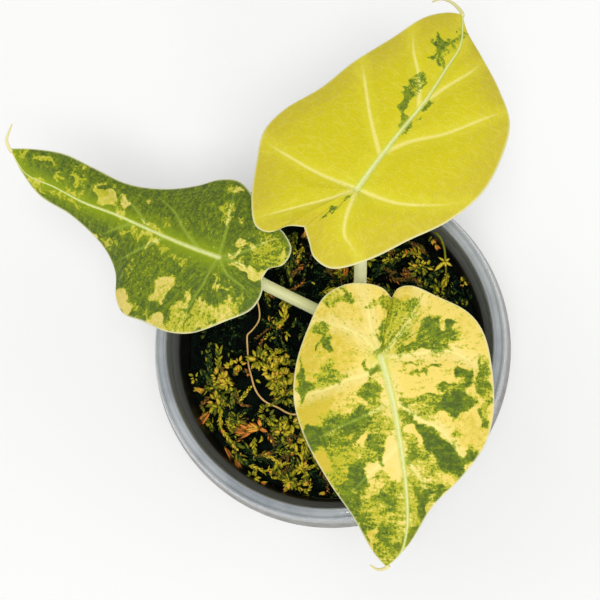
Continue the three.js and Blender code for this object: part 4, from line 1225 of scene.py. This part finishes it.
# Pale heads of the moss: place, size, tone, scales
PALE_HEADS = [
    (-29.9, -6.7, 2.6, 0.72, 13), (-28.6, -7.8, 2.6, 0.74, 13), (-27.1, -9, 2.6, 0.76, 13),
    (-26.2, -4.7, 2.6, 0.72, 11), (-24.6, -3.5, 2.6, 0.74, 13), (-19.3, -2.6, 3.4, 0.6, 20),
    (-18.4, -1.2, 2.2, 0.6, 11), (-12.3, -2.4, 1.8, 0.72, 11), (-16.7, 3.5, 2, 0.56, 10),
    (-13.9, -4.4, 3.2, 0.72, 20), (-16.1, -5.7, 2.8, 0.7, 14), (-14.8, -8, 3.6, 0.64, 22),
    (-12.2, -7, 3.4, 0.64, 20), (-14.1, -10.2, 3.2, 0.6, 17), (-11.5, -10, 3.4, 0.58, 20),
    (-12.2, -12.6, 3, 0.58, 14), (-17.5, -16.1, 2.2, 0.66, 11), (-36, -7.2, 1.8, 0.62, 10),
    (-30.6, -13.4, 3.6, 0.62, 25), (-29.4, -14.9, 3, 0.58, 17), (-10.5, -19.3, 3.2, 0.6, 17),
    (-12.7, -21.6, 3, 0.62, 17), (-9.5, -23.5, 3.2, 0.66, 17), (-13.4, -19, 2.8, 0.54, 13),
    (-16.7, -17.7, 2.8, 0.54, 13), (-24.6, -18, 3, 0.5, 14), (-20.5, -33.3, 2.4, 0.6, 11),
    (-11, -33.8, 3.4, 0.58, 20), (-7.6, -31, 2.8, 0.68, 13), (23, 21.6, 2.8, 0.62, 15),
    (24.4, 21.2, 2.2, 0.62, 13), (21.6, 21.7, 2.4, 0.62, 13), (22.6, 19.8, 2.8, 0.54, 14),
    (33.9, 17.7, 2, 0.76, 10), (31.3, 17, 1.1, 0.66, 7), (32.5, 17.3, 1.1, 0.66, 7),
    (34.4, 11.9, 1.2, 0.66, 7), (27.2, 16.5, 2.4, 0.46, 13), (9, 24, 3.4, 0.55, 17),
    (3, 20.5, 3.2, 0.5, 17),
]

# Pale strands: way in plan, width, tone
PALE_STRANDS = [
    ([(-29.1, -16.4), (-29.2, -19.7), (-27.7, -21.9), (-25, -25.5)], 1.8, 0.68),
    ([(-28.2, -13.6), (-26.8, -14.5), (-26.6, -17.1), (-27.1, -19.7), (-26.1, -21.3)], 1.1, 0.7),
    ([(-24.2, -14.1), (-22.6, -12), (-21.3, -10.2)], 1.5, 0.64),
    ([(-17.6, 1.6), (-16, -0.6), (-14.2, -2.6)], 1.4, 0.62),
    ([(-19.9, -22.9), (-20, -25.4), (-19.8, -27.7)], 1.6, 0.62),
    ([(-17.9, -27.1), (-15.3, -28), (-13, -29.9), (-11.5, -29.3)], 1.6, 0.7),
    ([(-21.4, -30.1), (-18.8, -30.9), (-17.2, -31.6), (-15.5, -30.9), (-15.8, -32.5)], 1.6, 0.7),
    ([(-13.6, -26.9), (-11, -26.6), (-8.8, -26.9)], 1.5, 0.56),
    ([(-9.5, -30), (-7, -31), (-4.6, -30.2)], 1.6, 0.64),
    ([(-12, -34.6), (-12.3, -36.7)], 1.5, 0.74),
    ([(-8.6, -35.6), (-6.1, -36.6), (-5.4, -34.6)], 1.3, 0.7),
    ([(-13.2, -12.2), (-15.6, -14.2), (-17.6, -14.6)], 1.7, 0.56),
    ([(-8, -19.5), (-6.6, -24), (-7.8, -27)], 1.8, 0.6),
    ([(-14.6, 3.6), (-15.8, 6.4), (-18.4, 8)], 1.5, 0.4),
]

# The orange frond's fingers: start, end, width
FROND = [
    ((-15.6, -22.2), (-18.6, -20.6), 1), ((-17.4, -21), (-18.9, -18.2), 1),
    ((-18.4, -21), (-21, -18.8), 1.1), ((-19.6, -21.2), (-22.4, -19.3), 1.1),
    ((-20.8, -21.2), (-24.4, -19.7), 1.1), ((-21.8, -21.4), (-26, -20.7), 1.1),
    ((-21.2, -21.6), (-25.6, -22), 1), ((-20.4, -21.6), (-23.9, -23.3), 1),
    ((-17.8, -20.9), (-22.4, -21.6), 1.2),
]

# Dry flakes: start, end, width, tone
FLAKES = [
    ((-36.5, -9.6), (-32.8, -11.4), 1.6, 0.82), ((-31.8, -15.4), (-35.6, -20), 2.2, 0.93),
    ((-28, -24.8), (-25.4, -28.7), 1.2, 0.96), ((-25.8, -28), (-23.2, -31.4), 1.4, 0.92),
    ((-18.6, -34.2), (-16.4, -34.8), 1.2, 0.84), ((-7.8, -35), (-5.4, -34.4), 1.3, 0.8),
    ((-3.6, -37), (-1.2, -37.2), 1.1, 0.76), ((-23.2, -4.4), (-21.8, -6.2), 0.9, 0.99),
    ((-22.2, -6), (-21.6, -7), 0.9, 0.92), ((-15.4, -12.6), (-13.2, -12.9), 0.9, 0.8),
    ((-24.1, -27), (-23.4, -27), 0.7, 0.8), ((25.9, 28.9), (26.9, 27.3), 1.5, 0.84),
    ((26.8, 27.8), (27.8, 25.6), 1.6, 0.83), ((19.2, 26.8), (19.7, 24.8), 1, 0.9),
    ((20, 26), (21.4, 26.4), 0.6, 0.92), ((21.6, 26.2), (21.8, 24.6), 0.6, 0.93),
    ((28.6, 14.2), (29.4, 12.6), 1.4, 0.86), ((-8, 29.5), (-6, 33), 1.4, 0.84),
    ((3, 18), (3.8, 22.6), 1.4, 0.92), ((1.5, 20), (0.2, 23.4), 1.2, 0.94),
]

# The seedling: its stem, the heart of its star and the tips of its leaves with their widths
SPROUT_STEM = [(25.2, 28.9, 65), (26.4, 29.7, 69.5), (27.2, 29.4, 72.6), (28.4, 27.8, 73.2),
               (29.2, 25.6, 72.6), (29.5, 23, 71), (29.6, 20.4, 68.8), (29.6, 19.2, 66.5)]
SPROUT_HEART = (29.4, 22.3, 70.8)
SPROUT_LEAVES = [(26.4, 19.6, 70.6, 1.2), (31.3, 20.9, 70.8, 1), (27.5, 23.4, 71.2, 0.7),
                 (30.7, 23, 71.2, 0.7), (29.6, 20.6, 71, 0.9), (28.6, 21.2, 71.2, 1)]


def runner_path(count):
    plan = np.array(RUNNER_PLAN, float)
    lying = np.column_stack([plan, moss_height(plan[:, 0], plan[:, 1]) + RUNNER_LIFT])
    return smooth_path([*RUNNER_RISE, *lying.tolist()], count)


def root_paths():
    """The roots under the rhizome: out, then down."""
    rng = np.random.default_rng(3)
    paths = []
    for i in range(ROOTS):
        a = 2 * math.pi * (i + 0.3 * rng.random()) / ROOTS
        reach, depth = 14 + 5 * rng.random(), 22 + 8 * rng.random()
        points = []
        for out, down in ((2, 0), (8, 3), (reach * 0.8, 0.45 * depth), (reach, depth)):
            x = CROWN[0] * (1 - down / 60) + out * math.cos(a)
            y = CROWN[1] * (1 - down / 60) + out * math.sin(a)
            points.append((x, y, CROWN_Z - RHIZOME_LENGTH + 5 - down))
        paths.append(smooth_path(points, 40))
    return paths


def root_radii(path):
    return ROOT_RADIUS * (1 - 0.4 * np.linspace(0, 1, len(path)))


def rhizome_piece(material):
    """The upright stem with its leaf scars, the roots and the fine root over the moss."""
    share = np.linspace(0, 1, 60)
    path = np.array([(*CROWN, CROWN_Z - RHIZOME_LENGTH * (1 - s)) for s in share])
    scars = RHIZOME_RADIUS * (0.95 + 0.04 * np.sin(share * 6 * 2 * np.pi))
    scars *= np.clip(0.7 + 4 * share, 0.7, 1)
    stem = tube(path, scars, 48)
    roots = [tube(path, root_radii(path), 16) for path in root_paths()]
    runner = tube(runner_path(200), RUNNER_RADIUS * (1 - 0.3 * np.linspace(0, 1, 200)), 12)
    vertices, faces = merge([stem, *roots, runner])
    return new_mesh("rhizome_and_root", vertices, faces, material, ["rhizome"])


# Studio


# The camera: aim and distance in millimetres, angles in degrees, focal length on a 36 mm sensor
CAMERA_AIM = (-7.2, 11, 80)
CAMERA_DISTANCE = 400
CAMERA_ELEVATION = 79.2
CAMERA_AZIMUTH = 31.8
CAMERA_LENS = 94.74


def studio():
    """Pale floor and soft lights, in metres and watts."""
    half = 1.5
    corners = [(-half, -half, 0), (half, -half, 0), (half, half, 0), (-half, half, 0)]
    mesh = bpy.data.meshes.new("floor")
    mesh.from_pydata(corners, [], [(0, 1, 2, 3)])
    floor = new_object("floor", mesh)
    s = Shader("floor")
    colour = s.mix(s.noise(s.place(), 3, 2), srgb(250, 250, 249), srgb(247, 246, 245))
    floor.data.materials.append(s.finish(colour, 0.7))

    world = bpy.data.worlds.new("studio")
    bpy.context.scene.world = world
    world.use_nodes = True
    sky = world.node_tree.nodes["Background"]
    sky.inputs["Color"].default_value = (0.98, 0.99, 1.0, 1)
    sky.inputs["Strength"].default_value = 0.45

    # Name, place, size, power
    lamps = [
        ("top", (0.14, -0.3, 1.55), (0.44, 0.45), 12.5),
        ("key", (-0.45, 0.35, 0.75), (0.10, 0.7), 0.8),
        ("right", (0.6, -0.05, 0.55), (0.10, 0.6), 0.5),
        ("front", (0.0, -0.65, 0.45), (0.6, 0.10), 0.5),
    ]
    for name, place, size, power in lamps:
        light = bpy.data.lights.new(name, "AREA")
        light.shape = "RECTANGLE"
        light.size, light.size_y = size
        light.energy = power
        back = unit(place - np.array((0, 0, 0.09)))
        right = unit(np.cross((0, 1, 0) if size[0] < size[1] else (1, 0, 0), back))
        new_object(name, light).matrix_world = placed(right, np.cross(back, right), back, place)


def placed(right, up, back, place):
    """The matrix of a lamp or camera from its axes and its place."""
    matrix = np.eye(4)
    matrix[:3] = np.column_stack([right, up, back, place])
    return Matrix(matrix.tolist())


def camera():
    """The photograph's view: steeply from above, its up direction along +Y."""
    e, a = math.radians(CAMERA_ELEVATION), math.radians(CAMERA_AZIMUTH)
    back = np.array([math.sin(a) * math.cos(e), -math.cos(a) * math.cos(e), math.sin(e)])
    right = np.array([math.cos(a), math.sin(a), 0])
    up = np.cross(back, right)
    turned_right = math.cos(a) * right - math.sin(a) * up
    turned_up = math.sin(a) * right + math.cos(a) * up
    place = (np.array(CAMERA_AIM) + CAMERA_DISTANCE * back) * MM
    lens = bpy.data.cameras.new("camera")
    lens.lens = CAMERA_LENS
    lens.sensor_width = 36
    lens.clip_start = 0.01
    eye = new_object("camera", lens)
    eye.matrix_world = placed(turned_right, turned_up, back, place)
    bpy.context.scene.camera = eye
    bpy.context.scene.view_settings.view_transform = "Standard"


camera()
studio()

pot_piece(plastic_material())
rhizome_piece(root_material())
moss = moss_material()
for make in (moss_bed, dark_and_shade_moss, pale_moss, sprout, wall_moss):
    make(moss)

# Each blade's material: its slot, light tissue, deeper light tissue, bright tissue by the midrib and how
# much of it, how much warmer the middle of a half is, tissue near the veins and how much of it
LEAF_LOOKS = {
    "front": ("leaf_cream", CREAM, GOLD, LIME, 0.25, -0.1, srgb(242, 224, 146), 0.6),
    "left": ("leaf_green", srgb(228, 206, 110), LIME, srgb(140, 160, 20), 0.85, 0,
             srgb(234, 222, 120), 0.4),
    "back": ("leaf_yellow", srgb(200, 184, 44), YELLOW, LIME, 0.2, 0.6, srgb(216, 208, 44), 0.5),
}
stalk_look = stalk_material()
for name, leaf in LEAVES.items():
    look = LEAF_LOOKS[name]
    stalk(name, leaf, stalk_look)
    blade(name, leaf, leaf_material(*look))
